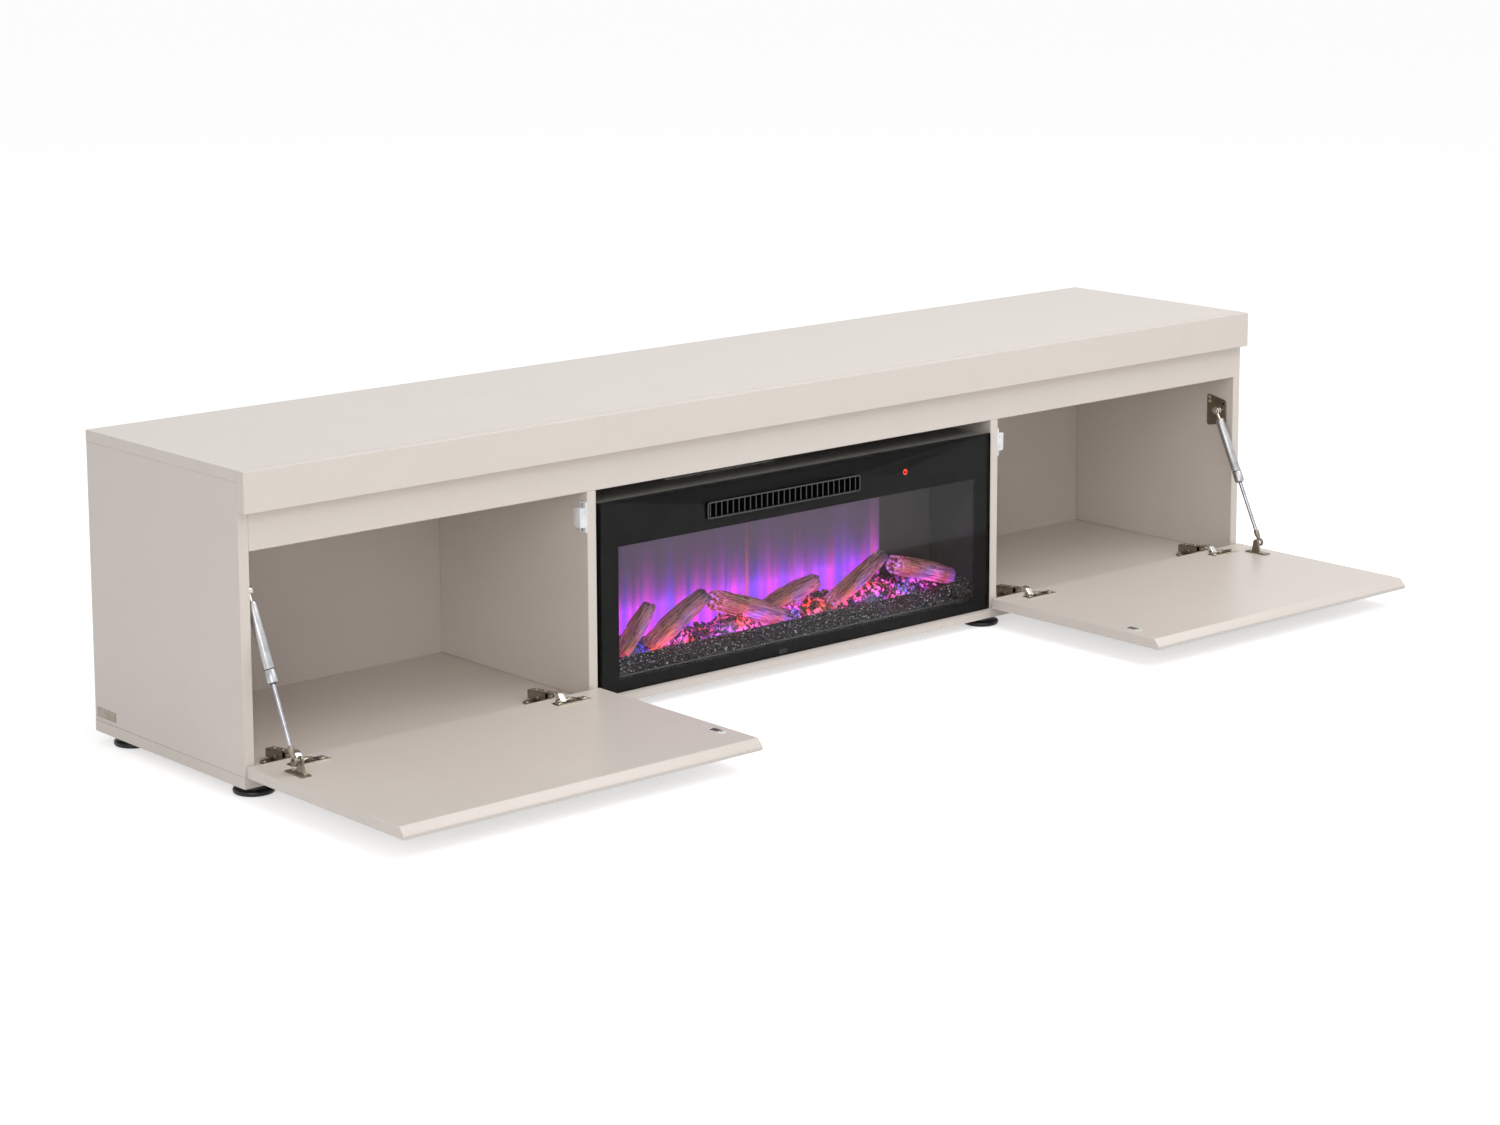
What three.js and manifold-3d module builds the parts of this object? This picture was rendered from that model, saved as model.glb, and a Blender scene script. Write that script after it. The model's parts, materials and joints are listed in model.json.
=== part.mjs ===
// A low television stand in light matt boards. A drop-down flap closes the compartment at each end,
// and an electric fireplace insert stands in the niche between them. The flaps are open at rest.
// Millimetres, +Z up. The origin is on the ground under the middle of the whole, flaps included,
// +X runs along the stand's length and the front faces -Y.
import * as THREE from "three";
import { mergeVertices } from "three/addons/utils/BufferGeometryUtils.js";
import Module from "manifold-3d";

const wasm = await Module();
wasm.setup();

// Cabinet boards
const CABINET_WIDTH = 2000;
const SIDE_DEPTH = 384;
const CARCASS_HEIGHT = 432;
const BOARD = 16;
const APRON_HEIGHT = 57;
const RAIL_HEIGHT = 95;
const NICHE_WIDTH = 800;
const BACK_THICKNESS = 3;
const BACK_INSET = 21;
const GROOVE_DEPTH = 5;
const GROOVE_PLAY = 0.3;
const VENT_WIDTH = 180;
const VENT_HEIGHT = 130;
const VENT_ABOVE_FLOOR = 60;

// Feet and the small bare plate low on the left side
const FOOT_HEIGHT = 15;
const FOOT_DIAMETER = 58;
const FOOT_TOP_DIAMETER = 46;
const FOOT_EDGE = 4;
const FOOT_INSET_SIDE = 32;
const FOOT_INSET_FRONT = 28;
const FOOT_INSET_BACK = 50;
const PLATE_LENGTH = 50;
const PLATE_HEIGHT = 14;
const PLATE_THICKNESS = 0.6;
const PLATE_FROM_BACK = 6;
const PLATE_ABOVE_BASE = 22;

// Flaps
const FINGER_GAP = 18;
const FLAP_REVEAL = 1;
const FLAP_GAP_OPEN = 5;
const FLAP_GAP_CLOSED = 2.5;
const FLAP_BOTTOM_REVEAL = 2;
const FLAP_CHAMFER = 10;
const FLAP_EDGE = 5.5;

// Cup hinges: an arm on the floor board, a link, and a cup let into the flap
const HINGE_INSET = 76;
const CUP_DIAMETER = 35;
const CUP_DEPTH = 11.5;
const CUP_WALL = 1;
const CUP_CENTRE_INSET = 22;
const CUP_PLAY = 0.3;
const CUP_RIM = 1.5;
const FLANGE_LENGTH = 61;
const FLANGE_WIDTH = 21;
const FLANGE_THICKNESS = 1.2;
const FLANGE_OFFSET = 9.5;
const FLANGE_SCREW_SPACING = 48;
const SCREW_HEAD_DIAMETER = 7;
const SCREW_HEAD_HEIGHT = 1;
const CUP_PIN_INSET = 12;
const CUP_PIN_DEPTH = 3;
const LINK_SWING_DEGREES = 55;
const HINGE_PIN_DIAMETER = 3;
const HINGE_PIN_PLAY = 0.2;
const LINK_WIDTH = 10;
const LINK_EYE_RADIUS = 3.4;
const LINK_CUP_EYE_RADIUS = 3;
const LINK_RISE = 2.2;
const LINK_THICKNESS = 4;
const LINK_CLEAR_OF_WALL = 1.2;
const LINK_NOSE_START_DEGREES = 90;
const LINK_NOSE_END_DEGREES = -30;
const LINK_TIP_START_DEGREES = -135;
const LINK_TIP_END_DEGREES = 0;
const ARM_WIDTH = 14;
const ARM_EAR_PLAY = 0.3;
const ARM_FORK_DEPTH = 9;
const ARM_NOSE_RADIUS = 4.3;
const ARM_REAR = 58;
const ARM_REAR_HEIGHT = 13;
const ARM_UNDER_FLOOR_GAP = 2.4;
const ARM_UNDER_START = 14;
const ARM_PLATE_LENGTH = 48;
const ARM_PLATE_WIDTH = 24;
const ARM_PLATE_FROM_FRONT = 31;
const ARM_SCREW_FROM_REAR = 12;
const ARM_SCREW_SPACING = 20;
const ARM_SCREW_HEIGHT = 2;

// Gas struts: the pin on the side board, the eye on the flap, and the sizes along the strut
const STRUT_FROM_SIDE = 13;
const STRUT_PIN_SETBACK = 25;
const STRUT_PIN_BELOW_RAIL = 59;
const STRUT_EYE_ALONG_FLAP = 71;
const STRUT_EYE_ABOVE_FLAP = 18;
const STRUT_PIN_DIAMETER = 7;
const STRUT_PIN_PLAY = 0.25;
const STRUT_PIN_HEAD = 1.6;
const STRUT_PIN_HEAD_DIAMETER = 10;
const STRUT_EYE_DIAMETER = 13;
const STRUT_EYE_THICKNESS = 5;
const STRUT_STUD_DIAMETER = 6;
const STRUT_STUD_GAP = 1.2;
const STRUT_STUD_LENGTH = 4;
const TUBE_DIAMETER = 15;
const TUBE_WALL = 1.4;
const TUBE_START = 16;
const TUBE_SHOULDER = 4;
const TUBE_END = 128;
const TUBE_COLLAR = 18;
const TUBE_COLLAR_STEP = 0.4;
const TUBE_NECK_DIAMETER = 4.8;
const GLAND_LENGTH = 6;
const ROD_DIAMETER = 6;
const ROD_PLAY = 0.3;
const ROD_TIP_LENGTH = 16;
const ROD_TIP_DIAMETER = 6.6;
const PISTON_FROM_END = 52;
const PISTON_LENGTH = 6;
const SIDE_BRACKET_THICKNESS = 2;
const SIDE_BRACKET_DEPTH = 42;
const SIDE_BRACKET_BACK_HEIGHT = 55;
const SIDE_BRACKET_FRONT_HEIGHT = 39;
const SIDE_BRACKET_PIN_FROM_FRONT = 11;
const SIDE_BRACKET_PIN_ABOVE_MIDDLE = 3;
const SIDE_BRACKET_HOLE_DIAMETER = 4.4;
const SIDE_BRACKET_HOLE_INSET = 6;
const SIDE_BOSS_DIAMETER = 12;
const FLAP_BRACKET_LENGTH = 42;
const FLAP_BRACKET_WIDTH = 15;
const FLAP_BRACKET_THICKNESS = 2;
const FLAP_EAR_THICKNESS = 3;
const FLAP_EAR_LENGTH = 18;
const FLAP_EAR_TOP_RADIUS = 6;
const FLAP_BRACKET_SCREW_SHIFT = 2.5;

// Magnet catches on the dividers and their strike plates on the flaps
const CATCH_BELOW_RAIL = 37.5;
const CATCH_BODY_HEIGHT = 28;
const CATCH_BODY_WIDTH = 13;
const CATCH_BODY_DEPTH = 15;
const CATCH_EARS_HEIGHT = 45;
const CATCH_EAR_THICKNESS = 3;
const CATCH_SETBACK = 0.5;
const CATCH_SLOT_WIDTH = 2;
const CATCH_SLOT_HEIGHT = 20;
const CATCH_SLOT_DEPTH = 4;
const CATCH_SLOT_PITCH = 6;
const CATCH_SCREW_DIAMETER = 3.4;
const STRIKE_LENGTH = 36;
const STRIKE_WIDTH = 13;
const STRIKE_THICKNESS = 1.2;

// Fireplace insert
const GLASS_SIDE_GAP = 4.5;
const GLASS_TOP_GAP = 19;
const GLASS_THICKNESS = 4;
const GLASS_LIFT = 1;
const MASK_THICKNESS = 1;
const WINDOW_SIDE_MARGIN = 35.5;
const WINDOW_TOP_MARGIN = 70;
const WINDOW_BOTTOM_MARGIN = 19;
const GRILLE_WIDTH = 308;
const GRILLE_HEIGHT = 26;
const GRILLE_CORNER_RADIUS = 5;
const GRILLE_LEFT_OF_CENTRE = 40;
const GRILLE_FROM_TOP = 41;
const GRILLE_PLAY = 0.3;
const GRILLE_RIM = 2;
const GRILLE_DEPTH = 12;
const GRILLE_LIP = 3;
const LOUVRE_COUNT = 27;
const LOUVRE_THICKNESS = 1.8;
const HOUSING_SIDE_MARGIN = 7.5;
const HOUSING_DEPTH = 170;
const HOUSING_TOP_MARGIN = 3;
const SHEET = 1.5;
const TOP_HOLE_COLUMNS = 24;
const TOP_HOLE_ROWS = 3;
const TOP_HOLE_DIAMETER = 5;
const TOP_HOLE_PITCH = 9;
const TOP_HOLE_ROW_PITCH = 8;
const TOP_HOLE_STAGGER = 4.5;
const TOP_HOLES_LEFT_OF_CENTRE = 207;
const TOP_HOLE_SETBACK = 72;
const TOP_SLOT_COLUMNS = 2;
const TOP_SLOT_ROWS = 2;
const TOP_SLOT_LENGTH = 40;
const TOP_SLOT_WIDTH = 4;
const TOP_SLOT_PITCH = 50;
const TOP_SLOT_ROW_PITCH = 10;
const TOP_SLOTS_RIGHT_OF_CENTRE = 14;
const REAR_SLOT_COUNT = 9;
const REAR_SLOT_LENGTH = 50;
const REAR_SLOT_WIDTH = 4;
const REAR_SLOT_PITCH = 9;
const REAR_SLOT_TOP_MARGIN = 34;
const INNER_PLAY = 0.3;

// Inside the insert
const GRAVEL_DEPTH = 40;
const GRAVEL_FRONT_HEIGHT = 22;
const GRAVEL_BACK_HEIGHT = 36;
const GRAVEL_GAP_TO_MASK = 3;
const EMBER_DEPTH = 74;
const EMBER_FRONT_HEIGHT = 24;
const EMBER_BACK_HEIGHT = 34;
const EMBER_SIDE_MARGIN = 36.5;
const SCREEN_THICKNESS = 3;
const SCREEN_TOP_MARGIN = 69.5;
const SCREEN_SETBACK = 124;
const ROTOR_SETBACK = 150;
const ROTOR_ABOVE_FLOOR = 56;
const ROTOR_SIDE_MARGIN = 76.5;
const ROTOR_SHAFT_DIAMETER = 6;
const ROTOR_VANE_COUNT = 14;
const ROTOR_VANE_REACH = 16;
const ROTOR_VANE_THICKNESS = 0.8;
const ROTOR_VANE_WIDTH_SHARE = 0.55;
const ROTOR_VANE_STEP_DEGREES = 50;
const MOTOR_DIAMETER = 36;
const MOTOR_LENGTH = 24;
const BEARING_WIDTH = 14;
const BEARING_HEIGHT = 18;
const BEARING_REACH = 12;
const SHAFT_PLAY = 0.2;
const SHAFT_SEAT = 6;
const LED_BAR_SIDE_MARGIN = 66.5;
const LED_BAR_DEPTH = 12;
const LED_BAR_HEIGHT = 12;
const LED_DOME_COUNT = 16;
const LED_DOME_DIAMETER = 5;
const HEATER_WIDTH = 320;
const HEATER_HEIGHT = 52;
const HEATER_FRONT_SETBACK = 16;
const HEATER_DEPTH = 110;
const HEATER_WALL = 2;
const BLOWER_DIAMETER = 40;
const BLOWER_END_MARGIN = 29;
const BLOWER_BLADE_COUNT = 14;
const BLOWER_BLADE_DEPTH = 6;
const BLOWER_BLADE_THICKNESS = 1;
const BLOWER_DISC_THICKNESS = 2;
const BLOWER_SETBACK = 84;
const BOARD_PANEL_LENGTH = 120;
const BOARD_PANEL_DEPTH = 70;
const BOARD_PANEL_THICKNESS = 2;
const BOARD_PANEL_RIGHT_OF_CENTRE = 270;
const BOARD_CHIP_HEIGHT = 14;
const INLET_LEFT_OF_CENTRE = 300;
const INLET_DIAMETER = 18;
const INLET_LENGTH = 14;
const INLET_FLANGE_DIAMETER = 26;
const INLET_FLANGE_THICKNESS = 3;
const INLET_BORE_DIAMETER = 8;
const INLET_ABOVE_FLOOR = 40;

// Cuts run this far past what they cut
const OVERRUN = 2;

// Places that follow from the sizes
const HALF = 1 / 2;
const HALF_WIDTH = CABINET_WIDTH * HALF;
const HALF_NICHE = NICHE_WIDTH * HALF;
const FLAP_LENGTH = CARCASS_HEIGHT - APRON_HEIGHT - FINGER_GAP - FLAP_BOTTOM_REVEAL;
const FLAP_REACH = FLAP_GAP_OPEN + FLAP_LENGTH;
const FRONT_Y = (FLAP_REACH - SIDE_DEPTH) * HALF;
const BACK_Y = FRONT_Y + SIDE_DEPTH;
const BASE_Z = FOOT_HEIGHT;
const FLOOR_Z = BASE_Z + BOARD;
const TOP_Z = BASE_Z + CARCASS_HEIGHT;
const CEILING_Z = TOP_Z - BOARD;
const RAIL_Z = CEILING_Z - RAIL_HEIGHT;
const RAIL_ABOVE_BASE = RAIL_Z - BASE_Z;
const SIDE_INNER = HALF_WIDTH - BOARD;
const DIVIDER_OUTER = HALF_NICHE + BOARD;
const BACK_FRONT_Y = BACK_Y - BACK_INSET - BACK_THICKNESS;
const FLAP_FACE = BOARD + BOARD;
const FLAP_OUTER_X = HALF_WIDTH - FLAP_REVEAL;
const FLAP_INNER_X = HALF_NICHE + FLAP_REVEAL;
const HINGE_PIN_RADIUS = HINGE_PIN_DIAMETER * HALF;
const SIDES = { left: -1, right: 1 };

// Round shapes are drawn with this many sides
const FINE_SIDES = 28;
const SMALL_SIDES = 16;
const DOME_SIDES = 8;
const HOLE_SIDES = 6;
const ARC_STEPS = 6;

// Colours and finishes
const finish = (color, roughness, metalness = 0, extra = {}) =>
  new THREE.MeshStandardMaterial({ color, roughness, metalness, ...extra });
const FINISHES = {
  board: () => finish(0xdad1ca, 0.55),
  back: () => finish(0xcfc6be, 0.6),
  nickel: () => finish(0x8d8070, 0.35, 1),
  bright: () => finish(0xe6e6e6, 0.2, 1),
  tube: () => finish(0xb4b7bb, 0.35, 0.7),
  white: () => finish(0xf0f1f2, 0.4),
  black: () => finish(0x141414, 0.5),
  steel: () => finish(0x1c1c1d, 0.45, 0.4),
  glass: () => finish(0x20242a, 0.05, 0, { transparent: true, opacity: 0.35 }),
  screen: () => finish(0x6a4fb0, 0.5, 0, { emissive: 0x37208a }),
  log: () => finish(0x6b3a36, 0.8),
  gravel: () => finish(0x55565a, 0.5),
  mirror: () => finish(0xd8d8d8, 0.1, 1),
  green: () => finish(0x2f5d3a, 0.6),
  plate: () => finish(0xb9b1a8, 0.4, 0.6),
};

const root = new THREE.Group();

function add(name, look, geometry) {
  const mesh = new THREE.Mesh(geometry, FINISHES[look]());
  mesh.name = name;
  root.add(mesh);
  return mesh;
}

// Solids and cuts

function solidOf(geometry) {
  const bare = geometry.clone();
  bare.deleteAttribute("normal");
  bare.deleteAttribute("uv");
  const merged = mergeVertices(bare, 1e-3);
  return new wasm.Manifold(
    new wasm.Mesh({
      numProp: 3,
      vertProperties: new Float32Array(merged.attributes.position.array),
      triVerts: new Uint32Array(merged.index.array),
    }),
  );
}

function geometryOf(solid) {
  const mesh = solid.getMesh();
  const geometry = new THREE.BufferGeometry();
  geometry.setAttribute("position", new THREE.BufferAttribute(mesh.vertProperties, 3));
  geometry.setIndex(new THREE.BufferAttribute(mesh.triVerts, 1));
  geometry.computeVertexNormals();
  return geometry;
}

const joined = (geometries) =>
  geometryOf(geometries.map(solidOf).reduce((whole, next) => whole.add(next)));

const cut = (geometry, cutters) =>
  geometryOf(cutters.map(solidOf).reduce((left, next) => left.subtract(next), solidOf(geometry)));

// Plain shapes

function box([x0, x1], [y0, y1], [z0, z1]) {
  const geometry = new THREE.BoxGeometry(x1 - x0, y1 - y0, z1 - z0);
  return geometry.translate((x0 + x1) * HALF, (y0 + y1) * HALF, (z0 + z1) * HALF);
}

function rod(axis, radius, length, centre, sides = SMALL_SIDES) {
  const geometry = new THREE.CylinderGeometry(radius, radius, length, sides);
  if (axis === "x") geometry.rotateZ(Math.PI * HALF);
  if (axis === "z") geometry.rotateX(Math.PI * HALF);
  return geometry.translate(...centre);
}

function outline(points) {
  return new THREE.Shape(points.map(([a, b]) => new THREE.Vector2(a, b)));
}

function circleHole(shape, a, b, radius) {
  const hole = new THREE.Path();
  hole.absarc(a, b, radius, 0, Math.PI + Math.PI, true);
  shape.holes.push(hole);
}

// A section drawn forward from the front plane and up from the underside, run along X
function acrossX(shape, width, x) {
  const geometry = new THREE.ExtrudeGeometry(shape, {
    depth: width,
    bevelEnabled: false,
    curveSegments: ARC_STEPS,
  });
  geometry.translate(0, 0, -width * HALF);
  geometry.applyMatrix4(
    new THREE.Matrix4().makeBasis(
      new THREE.Vector3(0, -1, 0),
      new THREE.Vector3(0, 0, 1),
      new THREE.Vector3(-1, 0, 0),
    ),
  );
  return geometry.translate(x, FRONT_Y, BASE_Z);
}

// A shape drawn in X and Z, with its thickness running back from y
function facing(shape, thickness, y) {
  const geometry = new THREE.ExtrudeGeometry(shape, {
    depth: thickness,
    bevelEnabled: false,
    curveSegments: ARC_STEPS,
  });
  geometry.rotateX(Math.PI * HALF);
  return geometry.translate(0, y + thickness, 0);
}

function rectangle(x0, x1, z0, z1) {
  return outline([
    [x0, z0],
    [x1, z0],
    [x1, z1],
    [x0, z1],
  ]);
}

// A rectangle with round corners, round x and z
function roundedPath(x, z, width, height, radius) {
  const reach = width * HALF - radius;
  const rise = height * HALF - radius;
  const path = new THREE.Path();
  path.absarc(x + reach, z - rise, radius, -Math.PI * HALF, 0, false);
  path.absarc(x + reach, z + rise, radius, 0, Math.PI * HALF, false);
  path.absarc(x - reach, z + rise, radius, Math.PI * HALF, Math.PI, false);
  path.absarc(x - reach, z - rise, radius, Math.PI, Math.PI + Math.PI * HALF, false);
  return path;
}

// Cabinet boards

const BAYS = {
  left: [-SIDE_INNER, -DIVIDER_OUTER],
  middle: [-HALF_NICHE, HALF_NICHE],
  right: [DIVIDER_OUTER, SIDE_INNER],
};
const GROOVE_Y = [BACK_FRONT_Y, BACK_FRONT_Y + BACK_THICKNESS + GROOVE_PLAY];

function grooveCuts(z0, z1) {
  return Object.values(BAYS).map(([x0, x1]) =>
    box([x0 - GROOVE_DEPTH, x1 + GROOVE_DEPTH], GROOVE_Y, [z0, z1]),
  );
}

function makeBoards() {
  const wide = [-HALF_WIDTH, HALF_WIDTH];
  const deep = [FRONT_Y, BACK_Y];
  const bottom = box(wide, deep, [BASE_Z, FLOOR_Z]);
  add("bottom_board", "board", cut(bottom, grooveCuts(FLOOR_Z - GROOVE_DEPTH, FLOOR_Z + OVERRUN)));
  const top = box(wide, deep, [CEILING_Z, TOP_Z]);
  add("top_board", "board", cut(top, grooveCuts(CEILING_Z - OVERRUN, CEILING_Z + GROOVE_DEPTH)));
  add("front_apron", "board", box(wide, [FRONT_Y - BOARD, FRONT_Y], [TOP_Z - APRON_HEIGHT, TOP_Z]));
  const railX = [-SIDE_INNER, SIDE_INNER];
  add("upper_rail", "board", box(railX, [FRONT_Y, FRONT_Y + BOARD], [RAIL_Z, CEILING_Z]));
}

const upright = (inner, outer, side) => (side < 0 ? [-outer, -inner] : [inner, outer]);

function makeSide(name, side) {
  const panel = box(upright(SIDE_INNER, HALF_WIDTH, side), [FRONT_Y, BACK_Y], [FLOOR_Z, CEILING_Z]);
  const groove = box(
    upright(SIDE_INNER - OVERRUN, SIDE_INNER + GROOVE_DEPTH, side),
    GROOVE_Y,
    [FLOOR_Z - OVERRUN, CEILING_Z + OVERRUN],
  );
  add(name + "_side", "board", cut(panel, [groove]));
}

function makeDivider(name, side) {
  const panel = box(upright(HALF_NICHE, DIVIDER_OUTER, side), [FRONT_Y, BACK_Y], [FLOOR_Z, CEILING_Z]);
  const grooves = [
    [HALF_NICHE - OVERRUN, HALF_NICHE + GROOVE_DEPTH],
    [DIVIDER_OUTER - GROOVE_DEPTH, DIVIDER_OUTER + OVERRUN],
  ].map(([inner, outer]) =>
    box(upright(inner, outer, side), GROOVE_Y, [FLOOR_Z - OVERRUN, CEILING_Z + OVERRUN]),
  );
  const notch = box(
    upright(HALF_NICHE - OVERRUN, DIVIDER_OUTER + OVERRUN, side),
    [FRONT_Y - OVERRUN, FRONT_Y + BOARD],
    [RAIL_Z, CEILING_Z + OVERRUN],
  );
  add(name + "_divider", "board", cut(panel, [...grooves, notch]));
}

function makeBacks() {
  const tongue = GROOVE_DEPTH - GROOVE_PLAY;
  for (const [name, [x0, x1]] of Object.entries(BAYS)) {
    const panel = box(
      [x0 - tongue, x1 + tongue],
      [BACK_FRONT_Y, BACK_FRONT_Y + BACK_THICKNESS],
      [FLOOR_Z - GROOVE_DEPTH, CEILING_Z + tongue],
    );
    const vent = box(
      [-VENT_WIDTH * HALF, VENT_WIDTH * HALF],
      [BACK_FRONT_Y - OVERRUN, BACK_Y],
      [FLOOR_Z + VENT_ABOVE_FLOOR, FLOOR_Z + VENT_ABOVE_FLOOR + VENT_HEIGHT],
    );
    add(name + "_back_panel", "back", name === "middle" ? cut(panel, [vent]) : panel);
  }
}

function makeFeet() {
  const places = {
    left_end: -HALF_WIDTH + FOOT_INSET_SIDE,
    left_inner: -HALF_NICHE - BOARD * HALF,
    right_inner: HALF_NICHE + BOARD * HALF,
    right_end: HALF_WIDTH - FOOT_INSET_SIDE,
  };
  const radius = FOOT_DIAMETER * HALF;
  const profile = [
    [0, 0],
    [radius - FOOT_EDGE, 0],
    [radius, FOOT_EDGE],
    [radius, FOOT_HEIGHT - FOOT_EDGE],
    [FOOT_TOP_DIAMETER * HALF, FOOT_HEIGHT],
    [0, FOOT_HEIGHT],
  ].map(([r, z]) => new THREE.Vector2(r, z));
  for (const [place, x] of Object.entries(places)) {
    for (const [row, y] of [
      ["front", FRONT_Y + FOOT_INSET_FRONT],
      ["back", BACK_Y - FOOT_INSET_BACK],
    ]) {
      const foot = new THREE.LatheGeometry(profile, FINE_SIDES).rotateX(Math.PI * HALF);
      add("foot_" + place + "_" + row, "black", foot.translate(x, y, 0));
    }
  }
}

function makePlate() {
  const y1 = BACK_Y - PLATE_FROM_BACK;
  const z0 = BASE_Z + PLATE_ABOVE_BASE;
  const x = [-HALF_WIDTH - PLATE_THICKNESS, -HALF_WIDTH];
  add("side_plate", "plate", box(x, [y1 - PLATE_LENGTH, y1], [z0, z0 + PLATE_HEIGHT]));
}

// Flap hinge: where the two pins of the link lie, with the flap open.
// The flap turns a quarter while the link turns the other way, which lifts the flap's lower edge
// past the front edges of the boards.

function hingePins() {
  const closed = new THREE.Vector2(FLAP_GAP_CLOSED + CUP_PIN_DEPTH, FLAP_BOTTOM_REVEAL + CUP_PIN_INSET);
  const open = new THREE.Vector2(FLAP_GAP_OPEN + CUP_PIN_INSET, FLAP_FACE - CUP_PIN_DEPTH);
  const chord = open.clone().sub(closed);
  const swing = THREE.MathUtils.degToRad(LINK_SWING_DEGREES);
  const reach = (chord.length() * HALF) / Math.tan(swing * HALF);
  const middle = closed.clone().add(open).multiplyScalar(HALF);
  const across = new THREE.Vector2(-chord.y, chord.x).normalize();
  return { arm: middle.add(across.multiplyScalar(reach)), cup: open };
}

const PINS = hingePins();
const HINGE_X = [FLAP_OUTER_X - HINGE_INSET, FLAP_INNER_X + HINGE_INSET];
const CUP_AHEAD = FLAP_GAP_OPEN + CUP_CENTRE_INSET;
const FLAP_TOP_Z = BASE_Z + FLAP_FACE;

function makeFlap(name, side) {
  const section = outline([
    [FLAP_GAP_OPEN, BOARD],
    [FLAP_REACH, BOARD],
    [FLAP_REACH, BOARD + FLAP_EDGE],
    [FLAP_REACH - FLAP_CHAMFER, FLAP_FACE],
    [FLAP_GAP_OPEN, FLAP_FACE],
  ]);
  const width = FLAP_OUTER_X - FLAP_INNER_X;
  const panel = acrossX(section, width, side * (FLAP_OUTER_X + FLAP_INNER_X) * HALF);
  const boreRadius = CUP_DIAMETER * HALF + CUP_PLAY;
  const boreDepth = CUP_DEPTH + CUP_PLAY;
  const bores = HINGE_X.map((x) =>
    rod(
      "z",
      boreRadius,
      boreDepth + OVERRUN,
      [side * x, FRONT_Y - CUP_AHEAD, FLAP_TOP_Z - boreDepth + (boreDepth + OVERRUN) * HALF],
      FINE_SIDES,
    ),
  );
  add(name + "_flap", "board", cut(panel, bores));
}

function armShape() {
  const { arm } = PINS;
  const under = BOARD + ARM_UNDER_FLOOR_GAP;
  const shape = new THREE.Shape();
  shape.moveTo(-ARM_REAR, under);
  shape.lineTo(arm.x - ARM_UNDER_START, under);
  shape.absarc(arm.x, arm.y, ARM_NOSE_RADIUS, -Math.PI * HALF, Math.PI * HALF, false);
  shape.lineTo(-ARM_REAR, under + ARM_REAR_HEIGHT);
  shape.closePath();
  return shape;
}

function makeArm(name, x) {
  const { arm } = PINS;
  const forkWidth = LINK_WIDTH + ARM_EAR_PLAY + ARM_EAR_PLAY;
  const noseY = FRONT_Y - arm.x;
  const body = cut(acrossX(armShape(), ARM_WIDTH, x), [
    box(
      [x - forkWidth * HALF, x + forkWidth * HALF],
      [noseY - ARM_NOSE_RADIUS - OVERRUN, noseY + ARM_FORK_DEPTH],
      [FLOOR_Z, BASE_Z + arm.y + ARM_NOSE_RADIUS + OVERRUN],
    ),
  ]);
  const plateY = FRONT_Y + ARM_PLATE_FROM_FRONT;
  const plate = box(
    [x - ARM_PLATE_LENGTH * HALF, x + ARM_PLATE_LENGTH * HALF],
    [plateY, plateY + ARM_PLATE_WIDTH],
    [FLOOR_Z, FLOOR_Z + ARM_UNDER_FLOOR_GAP],
  );
  const pin = rod("x", HINGE_PIN_RADIUS, ARM_WIDTH, [x, noseY, BASE_Z + arm.y]);
  const wingReach = (ARM_PLATE_LENGTH - SCREW_HEAD_DIAMETER) * HALF - SCREW_HEAD_HEIGHT;
  const plateScrews = [-wingReach, wingReach].map((reach) =>
    rod("z", SCREW_HEAD_DIAMETER * HALF, ARM_UNDER_FLOOR_GAP + SCREW_HEAD_HEIGHT, [
      x + reach,
      plateY + ARM_PLATE_WIDTH * HALF,
      FLOOR_Z + (ARM_UNDER_FLOOR_GAP + SCREW_HEAD_HEIGHT) * HALF,
    ]),
  );
  const topZ = FLOOR_Z + ARM_UNDER_FLOOR_GAP + ARM_REAR_HEIGHT;
  const armScrews = [0, ARM_SCREW_SPACING].map((step) =>
    rod("z", SCREW_HEAD_DIAMETER * HALF, ARM_REAR_HEIGHT, [
      x,
      FRONT_Y + ARM_REAR - ARM_SCREW_FROM_REAR - step,
      topZ + ARM_SCREW_HEIGHT - ARM_REAR_HEIGHT * HALF,
    ]),
  );
  add(name, "nickel", joined([body, plate, pin, ...plateScrews, ...armScrews]));
}

function linkShape() {
  const { arm, cup } = PINS;
  const under = FLAP_FACE + LINK_RISE;
  const over = under + LINK_THICKNESS;
  const wall = CUP_AHEAD - CUP_DIAMETER * HALF + CUP_WALL + LINK_CLEAR_OF_WALL;
  const shape = new THREE.Shape();
  const arc = (pin, radius, start, end) => {
    const [from, to] = [start, end].map(THREE.MathUtils.degToRad);
    shape.absarc(pin.x, pin.y, radius, from, to, false);
  };
  arc(arm, LINK_EYE_RADIUS, LINK_NOSE_START_DEGREES, LINK_NOSE_END_DEGREES);
  shape.lineTo(arm.x + LINK_EYE_RADIUS, under);
  shape.lineTo(wall, under);
  shape.lineTo(wall, cup.y);
  arc(cup, LINK_CUP_EYE_RADIUS, LINK_TIP_START_DEGREES, LINK_TIP_END_DEGREES);
  shape.lineTo(cup.x, over - LINK_THICKNESS * HALF);
  shape.lineTo(cup.x - LINK_THICKNESS, over);
  shape.lineTo(arm.x + LINK_EYE_RADIUS, over);
  shape.closePath();
  circleHole(shape, arm.x, arm.y, HINGE_PIN_RADIUS + HINGE_PIN_PLAY);
  circleHole(shape, cup.x, cup.y, HINGE_PIN_RADIUS + HINGE_PIN_PLAY);
  return shape;
}

function makeLink(name, x) {
  add(name, "bright", acrossX(linkShape(), LINK_WIDTH, x));
}

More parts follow.
